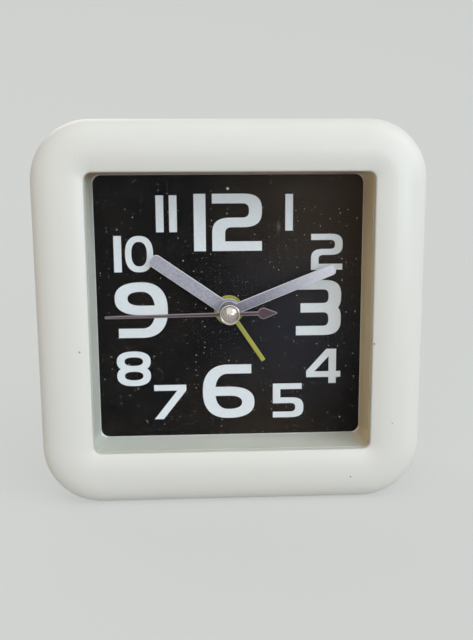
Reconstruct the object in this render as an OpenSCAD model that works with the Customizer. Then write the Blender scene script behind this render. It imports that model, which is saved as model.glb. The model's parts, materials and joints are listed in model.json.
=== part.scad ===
// Square alarm clock with a quartz movement, standing on the XY plane and facing -Y.
// The origin is under the middle of the base. Pieces are drawn lying face up, round the
// axis of the hands and with Z towards the viewer, and stand() turns them upright.

/* [Case] */
// Width of the front frame
case_w = 112.2; // [110:0.2:124]
// Height of the front frame
case_h = 111.4; // [110:0.2:124]
// Depth from the crown of the frame to the rear rim
case_d = 46; // [46:1:60]
// Corner radius of the frame, seen from the front
case_corner_r = 17.2; // [15:0.1:19]
// Thickness of the moulded outer walls
wall = 2.2; // [1.6:0.1:2.6]
// Distance from the crown back to the joint between frame and housing
frame_d = 24; // [22:0.5:27]
// Width of the rounding between the crown and the frame's side
shoulder_w = 9.2; // [8:0.1:9.4]
// Depth of the rounding between the crown and the frame's side
shoulder_d = 5; // [3:0.5:8]
// Step from the frame's side in to the housing's side
housing_step = 0.9; // [0.4:0.1:1.5]
// Radius of the housing's rear edge
rear_edge_r = 3; // [2:0.5:4]
// Length of the housing's tongue inside the frame
tongue_l = 3; // [2:0.5:4]
// Gap between the movement and the wall of the well in the housing's back
well_gap = 5; // [4:0.5:8]
// Corner radius of the well
well_r = 5; // [3:0.5:8]
// Height of the feet below the frame
foot_h = 0.4; // [0.2:0.1:1]
// Diameter of the feet
foot_dia = 8; // [6:0.5:9]
// Depth of the pockets that the feet sit in
foot_pocket = 0.8; // [0.5:0.1:1.2]
// Distance between the left and right feet
foot_pitch = 60; // [40:1:70]

/* [Window] */
// Height of the window's middle above the case's middle
window_up = 0.4; // [0:0.1:1]
// Width of the window in the frame
window_w = 81.7; // [80:0.1:82]
// Height of the window in the frame
window_h = 81.1; // [80:0.1:82]
// Corner radius of the window
window_r = 2.2; // [1.5:0.1:3]
// Width of the slope from the crown down to the window
slope_w = 6; // [5:0.1:6]
// Angle at which the slope meets the rounding of the lip
lip_angle = 20; // [12:1:26]
// Radius of the window's lip
lip_r = 0.7; // [0.6:0.1:1.3]
// Distance from the crown back to the front of the lens
lens_seat = 2.8; // [2.6:0.1:3]
// Thickness of the lens
lens_t = 1.5; // [1:0.1:1.8]
// Width of the lens's edge behind the lip
lens_margin = 1.6; // [1.2:0.1:1.8]
// Distance from the crown back to the face of the dial
dial_depth = 18; // [17.9:0.1:19]

/* [Dial] */
// Thickness of the dial sheet
dial_t = 0.5; // [0.3:0.1:0.8]
// Bare border between the window's wall and the black print
print_margin = 0.15; // [0.1:0.05:2.5]
// Corner radius of the black print
print_r = 2.6; // [1.5:0.1:5]
// Thickness of each printed layer
ink_t = 0.1; // [0.05:0.01:0.15]
// Thickness of the carrier plate behind the dial
carrier_t = 2; // [1.8:0.1:2.5]
// Height of the numerals 12, 3, 6 and 9
big_h = 17.2; // [14:0.1:17.6]
// Upright stroke of the big numerals
big_stroke = 3.9; // [3:0.05:4.2]
// Level stroke of the big numerals
big_bar = 2.9; // [2.4:0.05:3.2]
// Height of the other numerals
small_h = 11; // [9:0.1:11.4]
// Upright stroke of the other numerals
small_stroke = 2.35; // [1.8:0.05:2.5]
// Level stroke of the other numerals
small_bar = 1.85; // [1.5:0.05:2.1]
// Roundness of 0, 6, 8 and 9, where 2 is an ellipse
numeral_power = 2.4; // [2:0.05:3]
// Roundness of the lobes of 2, 3 and 5
lobe_power = 2.8; // [2:0.05:3.2]

/* [Hands] */
// Distance from the case's middle left to the axis of the hands
hub_left = 0.4; // [0:0.1:1]
// Length of the hour hand
hour_len = 28.3; // [20:0.1:30]
// Width of the hour hand
hour_w = 4.05; // [2:0.05:4.5]
// Length of the minute hand
minute_len = 34.5; // [28:0.1:38]
// Width of the minute hand
minute_w = 3.2; // [1.6:0.05:3.8]
// Length of the second hand
second_len = 36.7; // [30:0.1:39]
// Width of the second hand at its tip
second_w = 0.8; // [0.4:0.02:1]
// Length of the second hand's tail
tail_len = 14; // [11:0.1:16]
// Width of the spade on the tail
spade_w = 3.4; // [2:0.1:4]
// Length of the alarm hand
alarm_len = 19.2; // [12:0.1:24]
// Width of the alarm hand
alarm_w = 1.35; // [1:0.05:2]
// Thickness of the sheet that the hands are stamped from
hand_t = 0.4; // [0.3:0.05:0.6]
// Direction of the hour hand, clockwise from 12
hour_angle = 304.7; // [0:0.1:359]
// Direction of the minute hand, clockwise from 12
minute_angle = 68.4; // [0:0.1:359]
// Direction of the second hand, clockwise from 12
second_angle = 269.1; // [0:0.1:359]
// Direction of the alarm hand, clockwise from 12
alarm_angle = 146.3; // [0:0.1:359]
// Height of the alarm hand above the dial
alarm_rise = 1.3; // [1.1:0.1:1.7]
// Height of the hour hand above the dial
hour_rise = 3.1; // [2.7:0.1:3.5]
// Height of the minute hand above the dial
minute_rise = 4.8; // [4.5:0.1:5.2]
// Height of the second hand above the dial
second_rise = 10.2; // [9.6:0.1:10.4]
// Diameter of the hand cap
cap_dia = 6.2; // [4.4:0.1:6.4]
// Height of the cap's dome above the middle of its rim
cap_h = 1.3; // [0.9:0.1:1.5]
// Height of the middle of the cap's rim above the second hand
cap_stand = 1.1; // [0.8:0.05:1.2]
// Thickness of the cap's rolled rim
cap_rim = 0.7; // [0.5:0.05:0.9]

/* [Movement] */
// Room for the spring beside the battery
spring_room = 2.2; // [1.8:0.1:4]
// Distance from the hands' axis to the movement's top
move_up = 27; // [27:0.5:28]
// Distance from the hands' axis to the movement's bottom
move_down = 31; // [31:0.5:32]
// Depth inside the movement
move_inner_d = 15.6; // [15.6:0.1:16]
// Thickness of the movement's walls
shell_t = 1.2; // [1:0.1:1.3]
// Gap between wheels that pass each other
axial_gap = 0.4; // [0.3:0.02:0.4]
// Thickness of the train wheels
gear_t = 0.9; // [0.7:0.05:0.9]
// Thickness of the hour, alarm and setting wheels
motion_t = 1.3; // [1:0.05:1.3]
// Thickness of the two plates that the train runs between
plate_t = 1; // [0.8:0.05:1]
// Tooth size of the train wheels (pitch diameter over teeth)
train_module = 0.3; // [0.28:0.005:0.3]
// Tooth size of the minute cannon and the setting wheel
motion_module = 0.45; // [0.43:0.005:0.45]
// Tooth size of the alarm wheels
alarm_module = 0.4; // [0.38:0.005:0.4]
// Radius of the arbor of the second hand
arbor_r = 0.5; // [0.4:0.02:0.6]
// Wall of each pipe that carries a hand
pipe_wall = 0.55; // [0.5:0.01:0.6]
// Radius of the pivots in the plates
pivot_r = 0.3; // [0.2:0.02:0.35]
// Radius of the arbors of the two knobs
knob_arbor_r = 0.8; // [0.7:0.05:0.9]
// Running clearance of shafts, all round
run_fit = 0.05; // [0.03:0.01:0.08]
// Clearance between moulded pieces that slip together
slip_fit = 0.2; // [0.1:0.05:0.3]

/* [Controls] */
// Diameter of the time knob
time_knob_dia = 10; // [8:0.5:11]
// Diameter of the alarm knob
alarm_knob_dia = 10; // [8:0.5:11]
// Height of the knobs
knob_h = 4.5; // [3:0.1:4.6]
// Grooves round each knob
knob_grooves = 20; // [12:1:28]
// Length of the alarm switch's button
switch_w = 3; // [2:0.1:4]
// Travel of the alarm switch
switch_travel = 4; // [3:0.1:4.5]
// Direction of the alarm switch from the hands' axis, straight up
switch_up = 5; // [4:0.1:5.5]

/* [Battery] */
// Diameter of an AA cell
cell_dia = 14.5; // [14.5]
// Length of an AA cell with its nub
cell_len = 50.5; // [50.5]
// Thickness of the contact strip
contact_t = 0.4; // [0.3:0.05:0.5]
// Thickness of the wall between the battery and the train
bulkhead_t = 0.8; // [0.6:0.1:0.8]

/* [Hidden] */
$fn = 48;
// Overlap that joins touching pieces, and how far cuts run past what they cut
eps = 0.01;
over = 1;

// Case, from the front back
hub_z = foot_h + case_h / 2;
z_crown = case_d / 2;
z_rear = -case_d / 2;
z_joint = z_crown - frame_d;
z_seat = z_crown - lens_seat;
z_lens = z_seat - lens_t;
z_dial = z_crown - dial_depth;
z_carrier = z_dial - dial_t;
seat_wall = 2.2;
ceiling_z = z_seat - seat_wall;
lens_w = window_w + 2 * lens_margin;
lens_h = window_h + 2 * lens_margin;
print_w = window_w - 2 * print_margin;
print_h = window_h - 2 * print_margin;
lens_r = window_r + lens_margin;
rib_t = 2.2;
rib_d = 6;
surround_t = 1.4;
flange_t = 2;
flange_w = 92;
flange_r = 12;
dial_margin = 1;
housing_w = case_w - 2 * housing_step;
housing_h = case_h - 2 * housing_step;
housing_r = case_corner_r - housing_step;
edge_steps = 8;
boss_r = 3.3;
boss_rise = 9;
boss_end = z_joint + boss_rise;
boss_gap = 1;
boss_in = (case_corner_r - wall - boss_gap - boss_r) * sqrt(0.5) - case_corner_r;
boss_at = [case_w / 2 + boss_in, case_h / 2 + boss_in];
screw_r = 1.2;
screw_head_r = 2.6;
screw_head_t = 1.8;
screw_grip = 7;
screw_spare = 1;
post_web = 2.5;
foot_inset = 1;
foot_front_y = -(z_crown - shoulder_d - foot_dia / 2 - foot_inset);
foot_rear_y = -(z_rear + rear_edge_r + foot_dia / 2 + foot_inset);
well_floor_step = 2.5;
press_rib_w = 8;
press_rib_out = 5;
press_rib_in = 4;

// Movement, from the front back
z_move = z_carrier - carrier_t;
z_in = z_move - shell_t;
z_back_in = z_in - move_inner_d;
z_back = z_back_in - shell_t;
z_alarm = z_in - axial_gap;
z_hour = z_alarm - motion_t - axial_gap;
z_motion = z_hour - motion_t - axial_gap;
z_bridge = z_motion - motion_t - axial_gap;
z_centre = z_bridge - plate_t - axial_gap;
z_third = z_centre - gear_t - axial_gap;
z_second = z_third - gear_t - axial_gap;
z_inter = z_second - gear_t - axial_gap;
z_plate = z_inter - gear_t - axial_gap;
z_train = z_plate - plate_t;
bump = 0.1;
move_w = cell_len + spring_room + 2 * (shell_t + contact_t) + bump;
move_mid = (move_up - move_down) / 2;
move_h = move_up + move_down;
well_w = move_w + 2 * well_gap;
well_h = move_h + 2 * well_gap;
bulkhead_v = -14.6;
plate_w = 43;
plate_up = 15;
plate_down = 12.5;
plate_x = 1.5;
ear_w = 7;
ear_t = 1.6;
ear_up = 18;
ear_down = 22;
post_r = 1.3;
post_collar = 0.4;
post_fit = 0.1;
plate_posts = [[-17.5, 11.5], [-17.5, -9.5], [20.5, -9.5], [20.5, 1.5]];
cover_inset = 2.9;
cover_post_r = 1.8;
cover_screw_l = 4.5;
cover_posts = [
    for (side = [-1, 1]) [side * (move_w / 2 - cover_inset), move_up - cover_inset],
    for (side = [-1, 1]) [side * (move_w / 2 - cover_inset), bulkhead_v + cover_inset]
];
small_screw_r = 0.8;
small_head_r = 1.5;
small_head_t = 0.9;
ear_screw_l = 1.4;
small_end = 0.2;

// Radii of the pipes, one inside the other
minute_in = arbor_r + run_fit;
cannon_extra = 0.25;
minute_out = minute_in + pipe_wall + cannon_extra;
hour_in = minute_out + run_fit;
hour_out = hour_in + pipe_wall;
alarm_in = hour_out + run_fit;
alarm_out = alarm_in + pipe_wall;
bush_in = alarm_out + run_fit;
bush_wall = 0.9;
bush_out = bush_in + bush_wall;
bush_rise = alarm_rise - axial_gap;

// How far each hand's arbor or pipe stands out of it, and the bosses of the hands
alarm_end = 0.2;
hour_end = 0.3;
minute_end = 0.4;
second_end = 1.2;
collar_l = second_rise - minute_rise - hand_t - minute_end - axial_gap;
alarm_boss_r = 4.5;
hour_boss_r = 3.75;
minute_boss_r = 3.3;
second_neck = 1.5;
second_boss_r = 1.8;
collar_wall = 0.7;
spade_l = 5.8;
spade_point_r = 0.3;
spade_step = 9;

// Arbors: how far the pivots stand out of the plates, and the wider middles
pivot_end = 0.2;
hub_r = 0.6;
seconds_hub_r = 1.5;
bearing_wall = 0.8;
bearing_t = 0.25;

// Teeth
rotor_n = 8;
inter_n = 32;
inter_pinion_n = 8;
second_n = 60;
second_pinion_n = 8;
third_n = 60;
third_pinion_n = 8;
centre_n = 64;
cannon_n = 12;
motion_n = 36;
motion_pinion_n = 10;
hour_n = 40;
alarm_n = 40;
set_n = 20;
backlash = 0.11;
pressure_angle = 20;
root_share = 1.05;
tip_share = 0.75;
spoke_n = 5;
spoke_share = 0.28;
spoke_hole_r = 1.6;
second_turn = 0;
inter_turn = 3;

// Where the arbors stand: direction from the hub or the wheel before, and distance
third_dir = 120;
inter_dir = 40;
rotor_dir = 10;
motion_dir = -20;
set_dir = 200;
third_a = train_module * (second_pinion_n + third_n) / 2;
centre_module = 2 * third_a / (third_pinion_n + centre_n);
inter_a = train_module * (second_n + inter_pinion_n) / 2;
rotor_a = train_module * (inter_n + rotor_n) / 2;
motion_a = motion_module * (cannon_n + motion_n) / 2;
hour_module = 2 * motion_a / (motion_pinion_n + hour_n);
set_a = alarm_module * (alarm_n + set_n) / 2;
function polar(dir, dist) = dist * [cos(dir), sin(dir)];
third_at = polar(third_dir, third_a);
inter_at = polar(inter_dir, inter_a);
rotor_at = inter_at + polar(rotor_dir, rotor_a);
motion_at = polar(motion_dir, motion_a);
set_at = polar(set_dir, set_a);

// Angle of a tooth on the second wheel of a pair, so that it meshes with the first.
// The first wheel has a tooth at angle turn, and dir points from first to second.
function mesh(turn, n1, n2, dir) = dir + 180 - (turn - dir) * n1 / n2 + 180 / n2;

// Motor and electronics
magnet_r = 2.1;
magnet_t = 1.8;
rotor_hub_r = 0.7;
stator_t = 0.8;
z_magnet = z_third + (magnet_t - stator_t) / 2;
stator_gap = 0.5;
stator_box = [9.2, 4, 24.2, 11.4];
leg_w = 3;
core_v = 20.5;
bobbin_r = 3.4;
bobbin_flange = 0.8;
coil_r = 3.1;
bobbin_in = leg_w / 2 + slip_fit;
bobbin_wall = 0.6;
bobbin_end = 0.2;
coil_l = stator_box[2] - stator_box[0] - 2 * (leg_w + bobbin_end);
stator_pins = [[10.5, 10.1], [22, 7.6]];
pin_r = 0.5;
pin_collar = 0.5;
board_t = 0.8;
board_box = [-3, 6, 22.5, 25];
crystal_r = 0.75;
crystal_l = 6;
crystal_in = 3;
chip_at = [6, 12];
chip_size = [5, 4, 0.9];
chip_legs = 4;
leg_size = [0.5, 0.6, 0.2];
spring_t = 0.3;
spring_w = 1.8;
spring_foot = 5.5;
spring_at = 0.8;
spring_gap = 1.1;
sounder_at = [-15.5, 14.5];
sounder_r = 9.8;
sounder_wall = 0.8;
sounder_t = 2.3;
sounder_lip = 1;
sounder_roof = 1;
disc_at = 0.35;
disc_t = 0.25;
disc_gap = 0.05;
sound_holes = 8;
sound_hole_r = 1.2;
sound_ring_r = 4.2;
disc_r = sounder_r - sounder_wall - 0.1;

// Battery bay
bay_top = bulkhead_v;
bay_bottom = -move_down + shell_t;
cell_v = (bay_top + bay_bottom) / 2;
nub_r = 2.75;
nub_l = 1;
contact_w = 10;
contact_h = 12;
bump_r = 2;
spring_r = 4.4;
spring_end_r = 2.4;
wire_r = 0.42;
bay_half = move_w / 2 - shell_t;
cell_end = bay_half - contact_t - bump;
z_cell = z_in - move_inner_d / 2;
door_t = shell_t;
ridges = 3;
ridge = [12, 0.7, 0.6];
ridge_in = 2;
ridge_pitch = 1.6;
tongue = [1.2, 1.4, 2.2];

// Knobs and alarm switch
knob_gap = 0.6;
groove_share = 0.31;
switch_bar = 2.6;
switch_plate_t = 0.9;
switch_plate_w = switch_w + switch_travel + 2;
switch_plate_h = 5;
switch_out = 1.6;
rail_t = 0.8;

// Numerals round the hands' axis: digit, left edge, lower edge and width, the places and
// widths in hundredths of the print's width, and the lower edges of its height
big_digits = [
    [1, -12.7, 22.2, 4.4], [2, -5.9, 22.2, 18.55], [3, 25.65, -10.5, 17.2],
    [6, -10.2, -42.9, 19.9], [9, -42.8, -10.6, 19.8]
];
small_digits = [
    [1, 21.4, 29.65, 2.85], [2, 31.2, 14.7, 11.9], [4, 29.75, -29.6, 13.25],
    [5, 16.85, -43.1, 11.9], [7, -28.85, -42.9, 12.3], [8, -42.75, -29.5, 12.8],
    [1, -42.6, 14.55, 2.85], [0, -38.4, 14.5, 10.4], [1, -26.7, 29.4, 2.85],
    [1, -21.8, 29.4, 2.85]
];
dot_at = [0, 45.36];
dot_r = 0.4;
// Smoothness of the numerals' curves
curve_steps = 14;

// Outlines

module rounded_rect(w, h, r) {
    for (x = [-1, 1], y = [-1, 1])
        translate([x * (w / 2 - r), y * (h / 2 - r)]) circle(r);
    square([w - 2 * r, h], center = true);
    square([w, h - 2 * r], center = true);
}

// A rectangle between two corners, given as [left, bottom, right, top]
module box_outline(b) {
    translate([b[0], b[1]]) square([b[2] - b[0], b[3] - b[1]]);
}

// Moves pieces from the working position to the upright one.
module stand() {
    translate([-hub_left, 0, hub_z]) rotate([90, 0, 0]) children();
}

// Case pieces are drawn round the middle of the case instead of the axis of the hands.
module on_case() {
    translate([hub_left, 0]) children();
}

// The window, the lens and what lies behind it have a middle of their own.
module on_window() {
    translate([hub_left, window_up]) children();
}

// Extrudes an outline backwards from depth z.
module back_from(z, t) {
    translate([0, 0, z - t]) linear_extrude(t) children();
}

// Sweeps a profile round a rounded rectangle. The profile's X runs outwards from the
// centres of the corner arcs, and its Y is the height.
module sweep_round(w, h, r) {
    for (q = [0 : 3]) {
        across = (q % 2 == 0 ? w : h) / 2 - r;
        along = (q % 2 == 0 ? h : w) / 2 - r;
        rotate(90 * q) translate([across, along]) {
            rotate_extrude(angle = 90) children();
            rotate([90, 0, 0]) linear_extrude(2 * along) children();
        }
    }
}

// Front frame

// Depth below the crown at a distance in from the case's side
function shoulder_drop(x) =
    shoulder_d * (1 - pow(1 - pow(1 - x / shoulder_w, 2.3), 1 / 2.3));
shoulder_steps = 14;
shoulder = [
    for (i = [0 : shoulder_steps])
        let (x = shoulder_w * pow(i / shoulder_steps, 1.8))
        [case_corner_r - x, z_crown - shoulder_drop(x)]
];

// The slope is a parabola from the crown to where the lip's rounding starts
lip_start = lip_r * (1 - sin(lip_angle));
slope_k = tan(lip_angle) / (2 * (slope_w - lip_start));
lip_centre = z_crown - slope_k * pow(slope_w - lip_start, 2) - lip_r * cos(lip_angle);
slope_steps = 6;
lip_steps = 5;
slope = [
    for (i = [0 : lip_steps])
        let (a = 180 - i * (90 - lip_angle) / lip_steps)
        [window_r + lip_r + lip_r * cos(a), lip_centre + lip_r * sin(a)],
    for (i = [1 : slope_steps])
        let (x = lip_start + (slope_w - lip_start) * i / slope_steps)
        [window_r + x, z_crown - slope_k * pow(slope_w - x, 2)]
];

module frame_block() {
    sweep_round(case_w, case_h, case_corner_r)
        polygon(concat([[0, z_joint], [case_corner_r, z_joint]], shoulder, [[0, z_crown]]));
    back_from(z_crown, frame_d)
        square([case_w - 2 * case_corner_r, case_h - 2 * case_corner_r], center = true);
}

module window_cut() {
    top = z_crown + over;
    sweep_round(window_w, window_h, window_r)
        polygon(concat(
            [[0, ceiling_z - over], [window_r, ceiling_z - over]], slope,
            [[window_r + slope_w, top], [0, top]]
        ));
    back_from(top, top - ceiling_z + over)
        square([window_w - 2 * window_r, window_h - 2 * window_r], center = true);
}

module at_bosses() {
    on_case() for (x = [-1, 1], y = [-1, 1])
        translate([x * boss_at[0], y * boss_at[1]]) children();
}

module front_frame() {
    color("ivory") stand() difference() {
        union() {
            on_case() difference() {
                frame_block();
                back_from(ceiling_z, frame_d)
                    rounded_rect(case_w - 2 * wall, case_h - 2 * wall, case_corner_r - wall);
            }
            on_window() back_from(ceiling_z + eps, rib_d) difference() {
                rounded_rect(lens_w + 2 * slip_fit + 2 * rib_t,
                    lens_h + 2 * slip_fit + 2 * rib_t, lens_r + slip_fit + rib_t);
                rounded_rect(lens_w + 2 * slip_fit, lens_h + 2 * slip_fit, lens_r + slip_fit);
            }
            at_bosses() back_from(ceiling_z + eps, ceiling_z + eps - boss_end) circle(boss_r);
        }
        on_window() {
            window_cut();
            back_from(z_seat, seat_wall + over)
                rounded_rect(lens_w + 2 * slip_fit, lens_h + 2 * slip_fit, lens_r + slip_fit);
        }
        at_bosses() back_from(boss_end + screw_grip, screw_grip + over) circle(screw_r);
        on_case() for (x = [-1, 1])
            translate([x * foot_pitch / 2, -case_h / 2 - over, -foot_front_y])
                rotate([-90, 0, 0]) cylinder(h = foot_pocket + over, d = foot_dia);
    }
}

module lens() {
    color("lightcyan", 0.4) stand() on_window()
        back_from(z_seat, lens_t) rounded_rect(lens_w, lens_h, lens_r);
}

// Dial

module dial_surround() {
    color("gainsboro") stand() on_window() {
        back_from(z_lens, z_lens - z_dial) difference() {
            rounded_rect(window_w + 2 * surround_t, window_h + 2 * surround_t,
                window_r + surround_t);
            rounded_rect(window_w, window_h, window_r);
        }
        back_from(z_dial + flange_t, flange_t) difference() {
            rounded_rect(flange_w, flange_w, flange_r);
            rounded_rect(window_w, window_h, window_r);
        }
    }
}

module dial_sheet(t, z) {
    size = flange_w - 2 * dial_margin;
    back_from(z, t) difference() {
        on_window() rounded_rect(size, size, flange_r - dial_margin);
        circle(bush_out + slip_fit);
    }
}

module dial() {
    color("ivory") stand() dial_sheet(dial_t, z_dial);
}

module dial_print() {
    color("black") stand() back_from(z_dial + ink_t, ink_t) difference() {
        on_window() rounded_rect(print_w, print_h, print_r);
        circle(bush_out + slip_fit);
    }
}

// Points of a superellipse, the shape of the numerals' curves
function curve(w, h, power) = [
    for (i = [0 : 4 * curve_steps - 1])
        let (a = 90 * i / curve_steps, c = cos(a), s = sin(a))
        [w / 2 * sign(c) * pow(abs(c), 2 / power), h / 2 * sign(s) * pow(abs(s), 2 / power)]
];

// A bent stroke: one or more quarters of a ring, by quadrant from 1 to 4
module bend(w, h, stroke, bar, quadrants, power = numeral_power) {
    intersection() {
        difference() {
            polygon(curve(w, h, power));
            polygon(curve(w - 2 * stroke, h - 2 * bar, power));
        }
        for (q = quadrants) rotate(90 * (q - 1)) square(max(w, h));
    }
}

// Each numeral stands in a box from [0, 0], with its own strokes
module numeral_1(w, h) {
    square([w, h]);
}

module numeral_2(w, h, stroke, bar) {
    lobe_h = (h + bar) / 2;
    lobe_w = 0.82 * w;
    square([w, bar]);
    square([stroke, lobe_h / 2]);
    translate([lobe_w / 2, lobe_h / 2]) bend(lobe_w, lobe_h, stroke, bar, [2],
        lobe_power);
    translate([w - lobe_w / 2, h - lobe_h / 2])
        bend(lobe_w, lobe_h, stroke, bar, [1, 4], lobe_power);
    translate([lobe_w / 2, lobe_h - bar]) square([w - lobe_w, bar]);
    translate([0, h - bar]) square([w - lobe_w / 2, bar]);
}

module numeral_3(w, h, stroke, bar) {
    lobe_h = (h + bar) / 2;
    lobe_w = 0.82 * w;
    for (y = [0, h - lobe_h])
        translate([w - lobe_w / 2, y + lobe_h / 2])
            bend(lobe_w, lobe_h, stroke, bar, [1, 4], lobe_power);
    for (y = [0, h - bar]) translate([0, y]) square([w - lobe_w / 2, bar]);
    translate([0.1 * w, (h - bar) / 2]) square([0.9 * w - lobe_w / 2, bar]);
}

module numeral_4(w, h, stroke, bar) {
    foot = 0.18 * h;
    head = 0.33 * w;
    right = w - 0.13 * w;
    difference() {
        polygon([[0, foot], [w, foot], [w, foot + bar], [right, foot + bar], [right, h],
            [right - head + stroke * 0.2, h], [0, foot + 1.1 * bar]]);
        polygon([[right - stroke, foot + bar], [right - stroke, h - stroke],
            [stroke * 1.08, foot + bar]]);
    }
    translate([right - stroke, 0]) square([stroke, foot + eps]);
}

module numeral_5(w, h, stroke, bar) {
    lobe_h = 0.587 * h;
    lobe_w = lobe_h * 1.35;
    translate([w - lobe_w / 2, lobe_h / 2])
        bend(lobe_w, lobe_h, stroke * 1.1, bar, [1, 4], lobe_power);
    square([w - lobe_w / 2, bar]);
    translate([0, lobe_h - bar]) square([w - lobe_w / 2, bar]);
    translate([0, lobe_h - bar]) square([stroke, h - lobe_h + bar]);
    translate([0, h - bar]) square([0.94 * w, bar]);
}

module numeral_6(w, h, stroke, bar) {
    lobe_h = 0.587 * h;
    translate([w / 2, h / 2]) bend(w, h, stroke, bar, [2, 3]);
    translate([w / 2, lobe_h / 2]) bend(w, lobe_h, stroke, bar, [1, 4]);
    translate([0.18 * w, lobe_h - bar]) square([0.32 * w, bar]);
    translate([w / 2, h - bar]) square([0.44 * w, bar]);
}

module numeral_7(w, h, stroke, bar) {
    lean = (w - 1.15 * stroke) / (h - bar);
    polygon([[0, h], [w, h], [w, h - bar], [1.2 * stroke, 0], [0, 0],
        [lean * (h - bar) - 0.05 * stroke, h - bar], [0, h - bar]]);
}

module numeral_8(w, h, stroke, bar) {
    waist = (h + bar) / 2;
    for (y = [0, h - waist]) translate([w / 2, y + waist / 2])
        bend(w, waist, stroke, bar, [1, 2, 3, 4]);
}

module numeral_9(w, h, stroke, bar) {
    translate([w, h]) rotate(180) numeral_6(w, h, stroke, bar);
}

module numeral_0(w, h, stroke, bar) {
    translate([w / 2, h / 2]) bend(w, h, stroke * 0.8, bar * 0.97, [1, 2, 3, 4]);
}

module numeral(digit, w, h, stroke, bar) {
    if (digit == 0) numeral_0(w, h, stroke, bar);
    if (digit == 1) numeral_1(w, h);
    if (digit == 2) numeral_2(w, h, stroke, bar);
    if (digit == 3) numeral_3(w, h, stroke, bar);
    if (digit == 4) numeral_4(w, h, stroke, bar);
    if (digit == 5) numeral_5(w, h, stroke, bar);
    if (digit == 6) numeral_6(w, h, stroke, bar);
    if (digit == 7) numeral_7(w, h, stroke, bar);
    if (digit == 8) numeral_8(w, h, stroke, bar);
    if (digit == 9) numeral_9(w, h, stroke, bar);
}

module numeral_row(digits, h, stroke, bar) {
    for (d = digits) translate([d[1] * print_w, d[2] * print_h] / 100)
        numeral(d[0], d[3] * print_w / 100, h, stroke, bar);
}

module numerals() {
    numeral_row(big_digits, big_h, big_stroke, big_bar);
    numeral_row(small_digits, small_h, small_stroke, small_bar);
    translate(dot_at * print_h / 100) circle(dot_r);
}

module dial_numerals() {
    color("white") stand() back_from(z_dial + 2 * ink_t, ink_t) numerals();
}

module dial_carrier() {
    color("lightgray") stand() difference() {
        back_from(z_carrier, carrier_t)
            on_window() rounded_rect(flange_w, flange_w, flange_r);
        back_from(z_carrier + over, carrier_t + 2 * over) circle(bush_out + slip_fit);
        at_ears() back_from(z_move + ear_screw_l + small_end, ear_screw_l + small_end + over)
            circle(small_screw_r);
    }
}

// Rear housing

module at_ears() {
    for (x = [-1, 1], y = [ear_up, -ear_down])
        translate([x * (move_w + ear_w) / 2, y]) children();
}

module housing_block(step, z_top) {
    r = housing_r - step;
    edge = max(rear_edge_r - step, 0.5);
    bottom = z_rear + step;
    round_edge = [
        for (i = [0 : edge_steps]) let (a = -90 + i * 90 / edge_steps)
            [r - edge + edge * cos(a), bottom + edge + edge * sin(a)]
    ];
    sweep_round(housing_w - 2 * step, housing_h - 2 * step, r)
        polygon(concat([[0, bottom]], round_edge, [[r, z_top], [0, z_top]]));
    back_from(z_top, z_top - bottom)
        square([housing_w - 2 * step - 2 * r, housing_h - 2 * step - 2 * r], center = true);
}

module move_outline(gap) {
    translate([0, move_mid]) square([move_w + 2 * gap, move_h + 2 * gap], center = true);
}

module rear_housing() {
    tongue_step = wall - housing_step + slip_fit;
    floor_z = z_back + well_floor_step;
    color("ivory") stand() difference() {
        union() {
            on_case() difference() {
                housing_block(0, z_joint);
                housing_block(wall, z_joint + over);
            }
            on_case() back_from(z_joint + tongue_l, tongue_l + wall) difference() {
                rounded_rect(housing_w - 2 * tongue_step, housing_h - 2 * tongue_step,
                    housing_r - tongue_step);
                rounded_rect(housing_w - 2 * tongue_step - 2 * wall,
                    housing_h - 2 * tongue_step - 2 * wall, housing_r - tongue_step - wall);
            }
            back_from(floor_z + wall, floor_z + wall - z_rear)
                translate([0, move_mid])
                    rounded_rect(well_w + 2 * wall, well_h + 2 * wall, well_r + wall);
            // Posts for the screws, and ribs that press the carrier against the surround
            at_bosses() back_from(boss_end, boss_end - z_rear - wall + eps) circle(boss_r);
            for (x = [-1, 1], y = [-1, 1])
                translate([x * (well_w / 2 + press_rib_out),
                    y * (well_h / 2 - press_rib_in) + move_mid])
                    back_from(z_move, z_move - z_rear - wall + eps)
                        square([2 * wall, press_rib_w], center = true);
        }
        back_from(floor_z, floor_z - z_rear + over)
            translate([0, move_mid]) rounded_rect(well_w, well_h, well_r);
        back_from(floor_z + wall + over, floor_z + wall + over - z_rear) move_outline(slip_fit);
        at_bosses() {
            back_from(boss_end + over, boss_end - z_rear + 2 * over) circle(screw_r + slip_fit);
            back_from(boss_end - post_web, boss_end - post_web - z_rear + over)
                circle(screw_head_r + slip_fit);
        }
        on_case() for (x = [-1, 1])
            translate([x * foot_pitch / 2, -housing_h / 2 - over, -foot_rear_y])
                rotate([-90, 0, 0]) cylinder(h = foot_pocket + over, d = foot_dia);
    }
}

// A screw that points along Z, with its head's seat at the origin
module screw(r, l, head_r, head_t) {
    cylinder(h = l, r = r);
    difference() {
        translate([0, 0, -head_t]) cylinder(h = head_t, r = head_r);
        for (turn = [0, 90]) rotate(turn)
            translate([0, 0, -head_t]) cube([head_r * 1.3, head_r * 0.3, head_t], center = true);
    }
}

module case_screws() {
    color("silver") stand() at_bosses() translate([0, 0, boss_end - post_web])
        screw(screw_r, post_web + screw_grip - screw_spare, screw_head_r, screw_head_t);
}

module feet() {
    color("dimgray") for (x = [-1, 1]) translate([x * foot_pitch / 2, 0, 0]) {
        translate([0, foot_front_y, 0]) cylinder(h = foot_h + foot_pocket, d = foot_dia);
        translate([0, foot_rear_y, 0])
            cylinder(h = foot_h + housing_step + foot_pocket, d = foot_dia);
    }
}

// Movement case

module at_points(points) {
    for (p = points) translate(p) children();
}

module shaft(at, r, z_front, z_end) {
    translate([at[0], at[1], z_end]) cylinder(h = z_front - z_end, r = r);
}

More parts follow.
